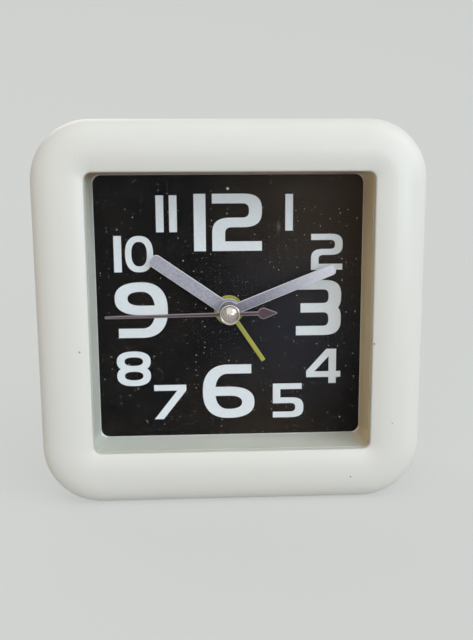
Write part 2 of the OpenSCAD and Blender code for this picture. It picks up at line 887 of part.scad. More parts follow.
module ring(at, r_out, r_in, z, t) {
    translate([at[0], at[1], z - t]) difference() {
        cylinder(h = t, r = r_out);
        translate([0, 0, -over]) cylinder(h = t + 2 * over, r = r_in);
    }
}

module movement_case_front() {
    color("white") stand() difference() {
        union() {
            back_from(z_move, shell_t) move_outline(0);
            back_from(z_move, z_move - z_back_in) difference() {
                move_outline(0);
                move_outline(-shell_t);
            }
            at_ears() back_from(z_move, ear_t) square([ear_w + 2 * eps, ear_w], center = true);
            shaft([0, 0], bush_out, z_dial + bush_rise, z_in);
            back_from(z_in + eps, move_inner_d + eps)
                translate([-bay_half - eps, bay_top])
                    square([2 * bay_half + 2 * eps, bulkhead_t]);
            at_points(plate_posts) shaft([0, 0], post_r + post_collar, z_in + eps, z_bridge);
            at_points(plate_posts) shaft([0, 0], post_r - post_fit, z_in, z_plate);
            at_points(plate_posts) shaft([0, 0], pin_r, z_in, z_train + pivot_end);
            at_points(cover_posts) shaft([0, 0], cover_post_r, z_in + eps, z_back_in);
            // Blind bearings for the two knob arbors
            for (at = [motion_at, set_at])
                ring(at, knob_arbor_r + bearing_wall, knob_arbor_r + run_fit, z_in + eps,
                    bearing_t);
        }
        shaft([0, 0], bush_in, z_dial + bush_rise + over, z_in - over);
        at_points(cover_posts)
            shaft([0, 0], small_screw_r, z_back_in + cover_screw_l + small_end, z_back_in - over);
        at_ears() shaft([0, 0], small_screw_r + run_fit, z_move + over, z_move - ear_t - over);
    }
}

module movement_case_rear() {
    door_edge = bay_top + bulkhead_t / 2;
    color("white") stand() {
        back_from(z_back_in, shell_t) difference() {
            translate([-move_w / 2, door_edge]) square([move_w, move_up - door_edge]);
            at_points(cover_posts) circle(small_screw_r + run_fit);
            at_points([motion_at, set_at]) circle(knob_arbor_r + run_fit);
            translate([0, switch_up])
                square([switch_w + switch_travel + 2 * slip_fit, switch_bar + 2 * slip_fit],
                    center = true);
            // Sound holes
            translate(sounder_at) {
                circle(sound_hole_r);
                for (i = [0 : sound_holes - 1]) rotate(360 * i / sound_holes)
                    translate([sound_ring_r, 0]) circle(sound_hole_r);
            }
        }
        // Rails that guide the switch
        for (side = [-1, 1])
            back_from(z_back_in + switch_plate_t + 2 * slip_fit + eps,
                switch_plate_t + 2 * slip_fit + eps)
                translate([0, switch_up + side * (switch_plate_h / 2 + slip_fit + rail_t / 2)])
                    square([switch_plate_w + switch_travel, rail_t], center = true);
    }
}

module movement_screws() {
    color("silver") stand() at_ears() translate([0, 0, z_move - ear_t])
        screw(small_screw_r, ear_t + ear_screw_l, small_head_r, small_head_t);
}

module cover_screws() {
    color("silver") stand() at_points(cover_posts) translate([0, 0, z_back])
        screw(small_screw_r, shell_t + cover_screw_l, small_head_r, small_head_t);
}

// Train

// Points of a wheel with involute teeth. The root, pitch and tip radii carry the flanks.
function involute(rb, r) = r <= rb ? 0 : tan(acos(rb / r)) * 180 / PI - acos(rb / r);
function flank(n, m, r) =
    let (rb = n * m / 2 * cos(pressure_angle), play = backlash / (n * m) * 180 / PI)
    90 / n - play + involute(rb, n * m / 2) - involute(rb, r);
function tooth_radii(n, m) =
    let (middle = n < 16 ? [-0.35, 0.3] : [0])
    [for (k = concat([-root_share], middle, [tip_share])) (n / 2 + k) * m];
function wheel_points(n, m) =
    let (radii = tooth_radii(n, m), last = len(radii) - 1)
    [
        for (k = [0 : n - 1], i = [0 : 2 * last + 1])
            let (r = radii[i <= last ? i : 2 * last + 1 - i],
                side = i <= last ? -1 : 1,
                a = 360 * k / n + side * min(flank(n, m, r), 170 / n))
            [r * cos(a), r * sin(a)]
    ];

module wheel(at, turn, n, m, z, t) {
    translate([at[0], at[1], z - t]) rotate(turn) linear_extrude(t) polygon(wheel_points(n, m));
}

module plate_outline() {
    translate([plate_x, (plate_up - plate_down) / 2])
        rounded_rect(plate_w, plate_up + plate_down, 2);
}

module gear_bridge() {
    color("whitesmoke") stand() {
        back_from(z_bridge, plate_t) difference() {
            plate_outline();
            circle(minute_out + run_fit);
            at_points([third_at, inter_at, rotor_at]) circle(pivot_r + run_fit);
            at_points([motion_at, set_at]) circle(knob_arbor_r + run_fit);
            at_points(plate_posts) circle(post_r);
        }
        // Pins that carry the stator
        at_points(stator_pins) {
            shaft([0, 0], pin_r + pin_collar, z_bridge - plate_t + eps, z_third);
            shaft([0, 0], pin_r, z_third + eps, z_third - stator_t);
        }
    }
}

module gear_plate() {
    color("whitesmoke") stand() back_from(z_plate, plate_t) difference() {
        plate_outline();
        circle(arbor_r + run_fit);
        at_points([third_at, inter_at, rotor_at]) circle(pivot_r + run_fit);
        at_points([motion_at, set_at]) circle(knob_arbor_r + run_fit);
        at_points(plate_posts) circle(pin_r + run_fit);
    }
}

module rotor() {
    color("darkslategray") stand() {
        shaft(rotor_at, pivot_r, z_bridge - pivot_end, z_train + pivot_end);
        shaft(rotor_at, magnet_r, z_magnet, z_magnet - magnet_t);
        shaft(rotor_at, rotor_hub_r, z_centre, z_inter);
        wheel(rotor_at, mesh(inter_turn, inter_n, rotor_n, rotor_dir), rotor_n, train_module,
            z_inter + axial_gap / 2, gear_t + axial_gap / 2);
    }
}

module intermediate_wheel() {
    color("wheat") stand() {
        shaft(inter_at, pivot_r, z_bridge - pivot_end, z_train + pivot_end);
        shaft(inter_at, hub_r, z_centre, z_second + eps);
        wheel(inter_at, mesh(second_turn, second_n, inter_pinion_n, inter_dir), inter_pinion_n,
            train_module, z_second, gear_t + axial_gap + eps);
        wheel(inter_at, inter_turn, inter_n, train_module, z_inter, gear_t);
    }
}

module seconds_wheel() {
    color("goldenrod") stand() {
        shaft([0, 0], arbor_r, z_dial + second_rise + hand_t + second_end, z_train);
        wheel([0, 0], second_turn, second_pinion_n, train_module, z_third,
            gear_t + axial_gap + eps);
        wheel([0, 0], second_turn, second_n, train_module, z_second, gear_t);
        shaft([0, 0], seconds_hub_r, z_second, z_inter - gear_t);
    }
}

module third_wheel() {
    color("wheat") stand() {
        shaft(third_at, pivot_r, z_bridge - pivot_end, z_train + pivot_end);
        wheel(third_at, 0, third_pinion_n, centre_module, z_centre, gear_t + axial_gap + eps);
        wheel(third_at, mesh(second_turn, second_pinion_n, third_n, third_dir), third_n,
            train_module, z_third, gear_t);
        shaft(third_at, hub_r, z_third, z_inter - gear_t);
    }
}

module centre_wheel() {
    color("wheat") stand() difference() {
        wheel([0, 0], mesh(0, third_pinion_n, centre_n, third_dir + 180), centre_n,
            centre_module, z_centre, gear_t);
        shaft([0, 0], minute_out + run_fit, z_centre + over, z_centre - gear_t - over);
        for (i = [0 : spoke_n - 1]) rotate(360 * i / spoke_n)
            shaft([spoke_share * centre_n * centre_module, 0], spoke_hole_r, z_centre + over,
                z_centre - gear_t - over);
    }
}

module minute_cannon() {
    color("whitesmoke") stand() difference() {
        union() {
            shaft([0, 0], minute_out, z_dial + minute_rise + hand_t + minute_end,
                z_centre - gear_t - axial_gap / 2);
            wheel([0, 0], 0, cannon_n, motion_module, z_motion, motion_t);
        }
        shaft([0, 0], minute_in, z_crown, z_centre - gear_t - over);
    }
}

module motion_wheel() {
    color("wheat") stand() {
        shaft(motion_at, knob_arbor_r, z_in, z_back - knob_h);
        wheel(motion_at, mesh(0, hour_n, motion_pinion_n, motion_dir), motion_pinion_n,
            hour_module, z_hour, motion_t + axial_gap + eps);
        wheel(motion_at, mesh(0, cannon_n, motion_n, motion_dir), motion_n, motion_module,
            z_motion, motion_t);
    }
}

module hour_wheel() {
    color("whitesmoke") stand() difference() {
        union() {
            shaft([0, 0], hour_out, z_dial + hour_rise + hand_t + hour_end, z_hour - motion_t);
            wheel([0, 0], 0, hour_n, hour_module, z_hour, motion_t);
        }
        shaft([0, 0], hour_in, z_crown, z_hour - motion_t - over);
    }
}

module alarm_wheel() {
    color("whitesmoke") stand() difference() {
        union() {
            shaft([0, 0], alarm_out, z_dial + alarm_rise + hand_t + alarm_end, z_alarm - motion_t);
            wheel([0, 0], 0, alarm_n, alarm_module, z_alarm, motion_t);
        }
        shaft([0, 0], alarm_in, z_crown, z_alarm - motion_t - over);
    }
}

module alarm_setting_gear() {
    color("wheat") stand() {
        shaft(set_at, knob_arbor_r, z_in, z_back - knob_h);
        wheel(set_at, mesh(0, alarm_n, set_n, set_dir), set_n, alarm_module, z_alarm, motion_t);
    }
}

// Motor

module stator() {
    b = stator_box;
    color("silver") stand() back_from(z_third, stator_t) difference() {
        union() {
            box_outline(b);
            for (x = [b[0], b[2] - leg_w]) box_outline([x, b[1], x + leg_w, core_v + leg_w / 2]);
        }
        translate(rotor_at) circle(magnet_r + stator_gap);
        at_points(stator_pins) circle(pin_r + run_fit);
    }
}

module coil_core() {
    color("silver") stand() back_from(z_third - stator_t, stator_t)
        box_outline([stator_box[0], core_v - leg_w / 2, stator_box[2], core_v + leg_w / 2]);
}

// Places pieces along the core: Z runs from the left end of the bobbin to the right.
module on_core() {
    translate([stator_box[0] + leg_w + bobbin_end, core_v, z_third - 1.5 * stator_t])
        rotate([0, 90, 0]) children();
}

module coil_bobbin() {
    color("white") stand() on_core() difference() {
        union() {
            cylinder(h = coil_l, r = bobbin_in + bobbin_wall);
            for (z = [0, coil_l - bobbin_flange])
                translate([0, 0, z]) cylinder(h = bobbin_flange, r = bobbin_r);
        }
        translate([0, 0, coil_l / 2])
            cube([stator_t + 2 * eps, leg_w + 2 * run_fit, coil_l + 2 * over], center = true);
    }
}

module coil_winding() {
    color("darkorange") stand() on_core() translate([0, 0, bobbin_flange]) difference() {
        cylinder(h = coil_l - 2 * bobbin_flange, r = coil_r);
        translate([0, 0, -over]) cylinder(h = coil_l + over, r = bobbin_in + bobbin_wall);
    }
}

// Electronics

module circuit_board() {
    color("darkgreen") stand() back_from(z_train, board_t) difference() {
        box_outline(board_box);
        at_points(plate_posts) circle(pin_r + 2 * slip_fit);
    }
}

module quartz_crystal() {
    color("silver") stand()
        translate([board_box[0] + crystal_in, board_box[3] - crystal_in,
            z_train - board_t - crystal_r])
            rotate([0, 90, 0]) cylinder(h = crystal_l, r = crystal_r);
}

module control_chip() {
    pitch = chip_size[0] / chip_legs;
    color("black") stand() translate([chip_at[0], chip_at[1], z_train - board_t - chip_size[2]]) {
        cube(chip_size);
        for (i = [0 : chip_legs - 1], y = [eps - leg_size[1], chip_size[1] - eps])
            translate([(i + 0.5) * pitch - leg_size[0] / 2, y, chip_size[2] - leg_size[2]])
                cube(leg_size);
    }
}

module alarm_contact_spring() {
    left = plate_x - plate_w / 2 - spring_t - 2 * slip_fit;
    tip = -hour_n * hour_module / 2 - spring_gap;
    z_foot = z_train - spring_t;
    z_tip = z_hour - spring_t;
    color("gold") stand() translate([0, spring_at + spring_w, 0]) rotate([90, 0, 0])
        linear_extrude(spring_w) {
            translate([left, z_foot]) square([spring_foot, spring_t]);
            translate([left, z_foot]) square([spring_t, z_tip - z_foot + spring_t]);
            translate([left, z_tip]) square([tip - left, spring_t]);
        }
}

module sounder_case() {
    color("black") stand() translate([sounder_at[0], sounder_at[1], z_train - sounder_t])
        difference() {
            cylinder(h = sounder_t, r = sounder_r);
            translate([0, 0, -over]) cylinder(h = disc_at + disc_t + over, r = disc_r);
            translate([0, 0, -over])
                cylinder(h = sounder_t + over - sounder_roof, r = disc_r - sounder_lip);
        }
}

module sounder_disc() {
    color("gold") stand()
        translate([sounder_at[0], sounder_at[1], z_train - sounder_t + disc_at])
            cylinder(h = disc_t, r = disc_r - disc_gap);
}

// Battery

module along_bay(x) {
    translate([x, cell_v, z_cell]) rotate([0, 90, 0]) children();
}

module battery() {
    color("orangered") stand() along_bay(cell_end - cell_len) {
        cylinder(h = cell_len - nub_l, d = cell_dia);
        cylinder(h = cell_len, r = nub_r);
    }
}

module contact_plate(x) {
    translate([x, cell_v - contact_w / 2, z_cell - contact_h / 2])
        cube([contact_t, contact_w, contact_h]);
}

module battery_contact_positive() {
    color("silver") stand() {
        contact_plate(bay_half - contact_t);
        along_bay(cell_end) cylinder(h = bump + eps, r = bump_r);
    }
}

module battery_contact_negative() {
    // Turns of the conical spring, closed up against the cell
    turns = ceil((spring_room - 2 * wire_r) / (1.5 * wire_r));
    step = (spring_room - 2 * wire_r) / turns;
    color("silver") stand() {
        contact_plate(-bay_half);
        along_bay(contact_t - bay_half) rotate_extrude()
            for (i = [0 : turns])
                translate([spring_r + (spring_end_r - spring_r) * i / turns,
                    wire_r - (i == 0 ? eps : 0) + i * step]) circle(wire_r, $fn = 24);
    }
}

module battery_door() {
    edge = bay_top + bulkhead_t / 2 - slip_fit;
    bottom = -move_down;
    color("white") stand() {
        back_from(z_back_in, door_t)
            translate([-move_w / 2, bottom]) square([move_w, edge - bottom]);
        // Finger ridges
        for (i = [0 : ridges - 1])
            translate([-ridge[0] / 2, bottom + ridge_in + ridge_pitch * i, z_back - ridge[2]])
                cube([ridge[0], ridge[1], ridge[2] + eps]);
        // Tongues that reach in beside the cell
        for (x = [-bay_half + slip_fit, bay_half - slip_fit - tongue[0]])
            translate([x, bay_bottom + slip_fit, z_back_in - eps]) cube(tongue);
    }
}

// Controls

module alarm_switch() {
    color("dimgray") stand() translate([-switch_travel / 2, switch_up]) {
        back_from(z_back_in + run_fit + switch_plate_t, switch_plate_t)
            square([switch_plate_w, switch_plate_h], center = true);
        back_from(z_back_in + 2 * run_fit, shell_t + switch_out)
            square([switch_w, switch_bar], center = true);
    }
}

module knob(at, dia) {
    groove_r = groove_share * PI * dia / knob_grooves;
    translate([at[0], at[1], z_back - knob_h - knob_gap]) difference() {
        cylinder(h = knob_h, d = dia);
        for (i = [0 : knob_grooves - 1]) rotate(360 * i / knob_grooves)
            translate([dia / 2 + groove_r / 3, 0, -over])
                cylinder(h = knob_h + 2 * over, r = groove_r, $fn = 16);
        translate([0, 0, knob_gap]) cylinder(h = knob_h, r = knob_arbor_r);
    }
}

module time_knob() {
    color("white") stand() knob(motion_at, time_knob_dia);
}

module alarm_knob() {
    color("white") stand() knob(set_at, alarm_knob_dia);
}

// Hands, drawn pointing up and turned clockwise from 12

module hand_sheet(rise, turn, hole) {
    rotate(-turn) translate([0, 0, z_dial + rise]) linear_extrude(hand_t) difference() {
        children();
        circle(hole);
    }
}

module alarm_hand() {
    color("olive") stand() hand_sheet(alarm_rise, alarm_angle, alarm_out) {
        circle(alarm_boss_r);
        translate([-alarm_w / 2, 0]) square([alarm_w, alarm_len]);
    }
}

module bar_hand(w, l, boss) {
    circle(boss);
    translate([0, l / 2]) rounded_rect(w, l, 0.4 * w);
}

module hour_hand() {
    color("lavender") stand() hand_sheet(hour_rise, hour_angle, hour_out)
        bar_hand(hour_w, hour_len, hour_boss_r);
}

module minute_hand() {
    color("lavender") stand() hand_sheet(minute_rise, minute_angle, minute_out)
        bar_hand(minute_w, minute_len, minute_boss_r);
}

// The spade on the tail, with its point at the origin: the outline round a large circle and a
// small one. Where it faces further towards the point than the sides do, it is on the small one.
module spade() {
    back_r = spade_w / 2;
    back_at = spade_l - back_r;
    sides = (back_r - spade_point_r) / (back_at - spade_point_r);
    polygon([
        for (a = [0 : spade_step : 360 - spade_step])
            let (r = cos(a) > sides ? spade_point_r : back_r,
                 at = cos(a) > sides ? spade_point_r : back_at)
            [r * sin(a), at - r * cos(a)]
    ]);
}

module second_hand() {
    neck = second_neck * second_w / 2;
    tip = second_w / 2;
    tail_from = spade_l - spade_w / 2 - tail_len;
    color("brown") stand() {
        hand_sheet(second_rise, second_angle, arbor_r) {
            circle(second_boss_r);
            polygon([[-neck, tail_from], [neck, tail_from], [neck, 0],
                [tip, second_len - tip], [-tip, second_len - tip], [-neck, 0]]);
            translate([0, second_len - tip]) circle(tip);
            translate([0, -tail_len]) spade();
        }
        // Collar that holds the hand on its arbor
        ring([0, 0], arbor_r + collar_wall, arbor_r, z_dial + second_rise + eps, collar_l);
    }
}

// A shallow dome in a rolled rim, on a neck over the second hand's boss
module hand_cap() {
    base = z_dial + second_rise + hand_t;
    dome_r = (cap_dia - cap_rim) / 2;
    ball = (pow(dome_r, 2) + pow(cap_h, 2)) / (2 * cap_h);
    color("silver") stand() difference() {
        union() {
            translate([0, 0, base])
                cylinder(h = cap_stand + eps, r = dome_r - cap_rim / 2);
            translate([0, 0, base + cap_stand]) {
                rotate_extrude() translate([dome_r, 0]) circle(cap_rim / 2);
                intersection() {
                    translate([0, 0, cap_h - ball]) sphere(r = ball);
                    cylinder(h = 2 * cap_h, r = cap_dia);
                }
            }
        }
        shaft([0, 0], arbor_r, base + second_end, base - over);
    }
}

front_frame();
lens();
dial_surround();
dial();
dial_print();
dial_numerals();
dial_carrier();
rear_housing();
case_screws();
feet();
movement_case_front();
movement_case_rear();
movement_screws();
cover_screws();
gear_bridge();
gear_plate();
rotor();
intermediate_wheel();
seconds_wheel();
third_wheel();
centre_wheel();
minute_cannon();
motion_wheel();
hour_wheel();
alarm_wheel();
alarm_setting_gear();
stator();
coil_core();
coil_bobbin();
coil_winding();
circuit_board();
quartz_crystal();
control_chip();
alarm_contact_spring();
sounder_case();
sounder_disc();
battery();
battery_contact_positive();
battery_contact_negative();
battery_door();
alarm_switch();
time_knob();
alarm_knob();
alarm_hand();
hour_hand();
minute_hand();
second_hand();
hand_cap();
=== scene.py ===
# %% [markdown]
# # A square quartz alarm clock
# The clock's parts come ready modelled in CAD, in metres, standing on the floor at z = 0
# and facing -Y. This lesson gives them their finishes, models again the pieces whose
# surface has to be smoother or softer than a CAD mesh, and sets up a small studio.

# %% Load the clock
import json
import math

import bpy
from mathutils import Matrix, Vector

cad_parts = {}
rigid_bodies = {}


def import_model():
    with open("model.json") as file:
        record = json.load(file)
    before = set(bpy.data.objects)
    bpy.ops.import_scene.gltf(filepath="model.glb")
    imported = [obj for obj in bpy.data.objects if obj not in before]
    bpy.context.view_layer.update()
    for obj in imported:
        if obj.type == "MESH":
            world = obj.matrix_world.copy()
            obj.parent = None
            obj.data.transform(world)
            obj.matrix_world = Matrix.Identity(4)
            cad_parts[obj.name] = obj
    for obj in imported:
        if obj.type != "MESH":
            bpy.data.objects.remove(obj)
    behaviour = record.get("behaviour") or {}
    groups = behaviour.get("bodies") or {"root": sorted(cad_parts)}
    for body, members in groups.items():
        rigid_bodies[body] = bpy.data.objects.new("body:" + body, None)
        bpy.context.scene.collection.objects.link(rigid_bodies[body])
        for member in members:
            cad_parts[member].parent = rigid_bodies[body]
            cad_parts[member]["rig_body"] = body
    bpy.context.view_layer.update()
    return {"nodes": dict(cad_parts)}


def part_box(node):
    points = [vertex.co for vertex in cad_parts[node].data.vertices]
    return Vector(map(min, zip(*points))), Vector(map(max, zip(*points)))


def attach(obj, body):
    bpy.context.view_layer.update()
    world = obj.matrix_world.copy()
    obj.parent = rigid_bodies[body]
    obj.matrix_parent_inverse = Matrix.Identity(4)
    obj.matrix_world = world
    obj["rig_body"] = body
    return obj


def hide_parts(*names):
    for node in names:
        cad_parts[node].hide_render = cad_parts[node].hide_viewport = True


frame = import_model()
mm = 0.001

# %% [markdown]
# ## Colours and nodes
# Colours are picked as sRGB hex values, the way a paint chart gives them. Blender's shaders
# work in linear light, so one function converts them. A second one adds a shader node with
# its settings and links, so that each finish below stays short enough to read at a glance,
# and a third starts a finish.

# %% Three helpers
def linear(hex_colour):
    parts = [int(hex_colour[i:i + 2], 16) / 255 for i in (1, 3, 5)]
    return [c / 12.92 if c <= 0.04045 else ((c + 0.055) / 1.055) ** 2.4 for c in parts] + [1.0]


def add(tree, kind, settings=None, links=None):
    node = tree.nodes.new(kind)
    for name, value in (settings or {}).items():
        if isinstance(name, int) or name in node.inputs:
            node.inputs[name].default_value = value
        else:
            setattr(node, name, value)
    for name, socket in (links or {}).items():
        tree.links.new(socket, node.inputs[name])
    return node


def new_finish(name):
    finish = bpy.data.materials.new(name)
    finish.use_nodes = True
    return finish, finish.node_tree, finish.node_tree.nodes["Principled BSDF"]


print("white is", [round(c, 3) for c in linear("#FFFFFF")])

# %% [markdown]
# ## Moulded plastic
# Most of the clock is injection moulded: ABS outside, acetal and polystyrene inside. The
# eye tells such plastic by three things. Its colour drifts a little over a few centimetres,
# its gloss is uneven where hands have polished it, and its skin carries the faint ripple
# of the mould's surface. A painted texture could show them on one part. Three noises at
# three real sizes, in millimetres, show them on any part, so that is the way taken here.

# %% A moulded finish
skin_size = 0.9
noise_low, noise_high = 0.3, 0.7


def moulded(name, colour, aged, roughness, ior, ripple=0.02, cloud=30, gloss_size=6, worn=0.2):
    finish, tree, shader = new_finish(name)
    shader.inputs["IOR"].default_value = ior
    place = add(tree, "ShaderNodeTexCoord").outputs["Object"]
    drift = add(tree, "ShaderNodeTexNoise", {"Scale": 1 / (cloud * mm), "Detail": 3.0},
                {"Vector": place})
    shade = add(tree, "ShaderNodeMix", {"data_type": "RGBA", 6: linear(colour), 7: linear(aged)},
                {0: drift.outputs["Fac"]})
    tree.links.new(shade.outputs[2], shader.inputs["Base Color"])
    handled = add(tree, "ShaderNodeTexNoise", {"Scale": 1 / (gloss_size * mm), "Detail": 4.0},
                  {"Vector": place})
    gloss = add(tree, "ShaderNodeMapRange",
                {"From Min": noise_low, "From Max": noise_high,
                 "To Min": roughness * (1 - worn), "To Max": roughness * (1 + worn)},
                {"Value": handled.outputs["Fac"]})
    tree.links.new(gloss.outputs["Result"], shader.inputs["Roughness"])
    skin = add(tree, "ShaderNodeTexNoise", {"Scale": 1 / (skin_size * mm), "Detail": 2.0},
               {"Vector": place})
    bump = add(tree, "ShaderNodeBump", {"Strength": 0.5, "Distance": ripple * mm},
               {"Height": skin.outputs["Fac"]})
    tree.links.new(bump.outputs["Normal"], shader.inputs["Normal"])
    return finish


print("the mould's ripple is about", skin_size, "mm wide")

# %% Nine plastics
# ABS is satin, polystyrene a cooler white, and acetal a waxy off-white. Filled epoxy and
# rubber have a coarse, dull skin, so their roughness is high and their ripple deeper.
abs_ior, styrene_ior, acetal_ior, epoxy_ior, rubber_ior = 1.53, 1.59, 1.48, 1.55, 1.52
case_back_abs = moulded("moulded ABS, ivory, satin", "#E4E3DA", "#DEDCD0", 0.42, abs_ior)
tube_abs_painted_light_shade = moulded("moulded ABS, pale, painted light and shade", "#EBEFE3", "#E5E9DC", 0.33, abs_ior, ripple=0.004,
                   cloud=18, worn=0.08)
movement_white = moulded("moulded polystyrene, white", "#E3E4E2", "#D9DAD6", 0.4, styrene_ior)
gear_acetal = moulded("moulded acetal, natural", "#ECEBE4", "#E2E0D6", 0.38, acetal_ior, cloud=8)
pipe_acetal = moulded("moulded acetal, white", "#F0F0EC", "#E6E5DF", 0.36, acetal_ior, cloud=6)
knob_abs = moulded("moulded ABS, white knob", "#E8E8E4", "#DDDCD4", 0.36, abs_ior, cloud=8)
switch_abs = moulded("moulded ABS, grey", "#8E9092", "#848688", 0.4, abs_ior, cloud=8)
epoxy_black = moulded("transfer moulded epoxy, black", "#1D1D1F", "#252527", 0.55, epoxy_ior,
                      ripple=0.03, cloud=4, gloss_size=1)
foot_rubber = moulded("moulded rubber, dark grey", "#2C2C2D", "#363635", 0.75, rubber_ior,
                      ripple=0.05, cloud=5, gloss_size=2)
print("9 moulded plastics")

# %% [markdown]
# ## A tube with painted light and shade
# The pale tube between the lens and the dial lies down in the clock's well. Its foot at the
# dial is painted lighter than its mouth, a painted light against the shade of the well. Its
# right wall is painted yellow and its upper wall brown, each a little round its corners too:
# painted warm shade, for those walls catch brown light bounced from the room and the table.
# The left and lower walls keep their cool white. Four materials on four walls would meet in
# hard lines at the corners. Here each painted layer is laid over the whole tube instead, and
# fades out with the place: Y says how far back a point lies, X and Z which wall it is on.

# %% Painted light at the foot, painted warm shade on two walls
def lay_over(finish, colour, cover):
    tree = finish.node_tree
    base = tree.nodes["Principled BSDF"].inputs["Base Color"]
    layer = add(tree, "ShaderNodeMix", {"data_type": "RGBA", 7: linear(colour)},
                {0: cover, 6: base.links[0].from_socket})
    tree.links.new(layer.outputs[2], base)


tube_low, tube_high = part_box("dial_surround")
window_half = 40.8 * mm
corner_width = 3 * mm
ceiling = (tube_low.z + tube_high.z) / 2 + window_half
tree = tube_abs_painted_light_shade.node_tree
place = add(tree, "ShaderNodeTexCoord").outputs["Object"]
where = add(tree, "ShaderNodeSeparateXYZ", links={"Vector": place})
deep = add(tree, "ShaderNodeMapRange", {"From Min": tube_low.y, "From Max": tube_high.y},
           {"Value": where.outputs["Y"]})
top = add(tree, "ShaderNodeMapRange", {"From Min": ceiling - corner_width,
                                       "From Max": ceiling - mm}, {"Value": where.outputs["Z"]})
right = add(tree, "ShaderNodeMapRange", {"From Min": window_half - corner_width,
                                         "From Max": window_half}, {"Value": where.outputs["X"]})
# Painted light at the foot, then painted warm shade on the upper and right walls.
for colour, cover in (("#F8FCF6", deep), ("#C9AE94", top), ("#FAE2B8", right)):
    lay_over(tube_abs_painted_light_shade, colour, cover.outputs["Result"])
print("tube", round((tube_high.x - tube_low.x) / mm, 1), "mm wide")

# %% [markdown]
# ## The ivory case
# The front frame is glossy ivory ABS, some years old. Its polish is still even, so its
# roughness hardly varies, and its mould was smooth, so the ripple is faint. Handling has
# left the odd dark speck. Specks could be modelled as tiny discs, but they have no
# thickness. Here they are the middles of a Voronoi pattern's cells, so they stay tiny and
# far apart.

# %% Ivory ABS, aged
ivory_abs = moulded("moulded ABS, ivory, glossy", "#E8E7E2", "#E5E3DC", 0.31, abs_ior,
                    ripple=0.004, cloud=60, gloss_size=16, worn=0.04)
speck_gap, speck_share = 7, 0.3
speck_core, speck_rim = 0.21, 0.315
tree = ivory_abs.node_tree
place = add(tree, "ShaderNodeTexCoord").outputs["Object"]
cells = add(tree, "ShaderNodeTexVoronoi", {"Scale": 1 / (speck_gap * mm), "Randomness": 1.0},
            {"Vector": place})
spot = add(tree, "ShaderNodeMapRange",
           {"From Min": speck_core / speck_gap, "From Max": speck_rim / speck_gap,
            "To Min": 1.0, "To Max": 0.0}, {"Value": cells.outputs["Distance"]})
chance = add(tree, "ShaderNodeSeparateColor", links={"Color": cells.outputs["Color"]})
chosen = add(tree, "ShaderNodeMath", {"operation": "GREATER_THAN", 1: 1 - speck_share},
             {0: chance.outputs["Red"]})
specks = add(tree, "ShaderNodeMath", {"operation": "MULTIPLY"},
             {0: spot.outputs["Result"], 1: chosen.outputs["Value"]})
lay_over(ivory_abs, "#8A8069", specks.outputs["Value"])
print("ivory with specks about", speck_gap, "mm apart")

# %% [markdown]
# ## Inks and painted sheet
# The dial is a white sheet with a screen printed black square and white numerals. Ink lies
# flat and satin, with a slight mottle of its mesh. The hands are thin stamped sheet, and
# their lacquer has gone cloudy in patches under a millimetre wide. Ink and lacquer are the
# same thing to the eye, a thin even coat with cloudy patches, so one function makes both.

# %% A printed or lacquered finish
cloudy_low, cloudy_high = 0.34, 0.66
coat_swing = 0.2


def coated(name, colour, second, roughness, patch, ior=1.5, metallic=0.0):
    finish, tree, shader = new_finish(name)
    shader.inputs["Metallic"].default_value = metallic
    shader.inputs["IOR"].default_value = ior
    place = add(tree, "ShaderNodeTexCoord").outputs["Object"]
    mottle = add(tree, "ShaderNodeTexNoise", {"Scale": 1 / (patch * mm), "Detail": 5.0,
                                              "Roughness": 0.6}, {"Vector": place})
    cloudy = add(tree, "ShaderNodeMapRange", {"From Min": cloudy_low, "From Max": cloudy_high},
                 {"Value": mottle.outputs["Fac"]})
    shade = add(tree, "ShaderNodeMix", {"data_type": "RGBA", 6: linear(colour), 7: linear(second)},
                {0: cloudy.outputs["Result"]})
    tree.links.new(shade.outputs[2], shader.inputs["Base Color"])
    gloss = add(tree, "ShaderNodeMapRange", {"To Min": roughness * (1 - coat_swing),
                                             "To Max": roughness * (1 + coat_swing)},
                {"Value": mottle.outputs["Fac"]})
    tree.links.new(gloss.outputs["Result"], shader.inputs["Roughness"])
    bump = add(tree, "ShaderNodeBump", {"Strength": 0.4, "Distance": 0.01 * mm},
               {"Height": mottle.outputs["Fac"]})
    tree.links.new(bump.outputs["Normal"], shader.inputs["Normal"])
    return finish


print("a coat's gloss varies by", coat_swing)

# %% Eight inks and lacquers
# Vinyl and ink are dull and even. The silver and plum lacquers hold metal flake, which gives
# them a soft sheen, and the olive one holds none. Solder mask is a shiny varnish.
dial_sheet = coated("vinyl sheet, white", "#F6F6F0", "#F0EFE8", 0.5, patch=4)
ink_black = coated("screen ink, black", "#0C0A0C", "#110E0E", 0.5, patch=6)
ink_white = coated("screen ink, white", "#EAF0F4", "#E4EAEF", 0.45, patch=1)
hand_silver = coated("satin lacquer on sheet, silver", "#B6B5C0", "#9593A2", 0.36, patch=0.7,
                     metallic=0.6)
silver_painted_sheen = coated("satin lacquer on sheet, silver, painted sheen", "#B2B1BC", "#918F9E", 0.36,
                      patch=0.7, metallic=0.6)
hand_plum = coated("lacquer on sheet, plum", "#553C45", "#46333B", 0.4, patch=0.8, metallic=0.2)
hand_olive = coated("lacquer on sheet, olive yellow", "#B4AE48", "#A6A13E", 0.42, patch=0.8)
solder_mask = coated("solder mask on FR-4, green", "#2C5A38", "#26502F", 0.35, patch=0.6, ior=1.52)
# The black ink is so matt that it hardly mirrors the room.
ink_black.node_tree.nodes["Principled BSDF"].inputs["Specular IOR Level"].default_value = 0.08
print("8 inks and lacquers")
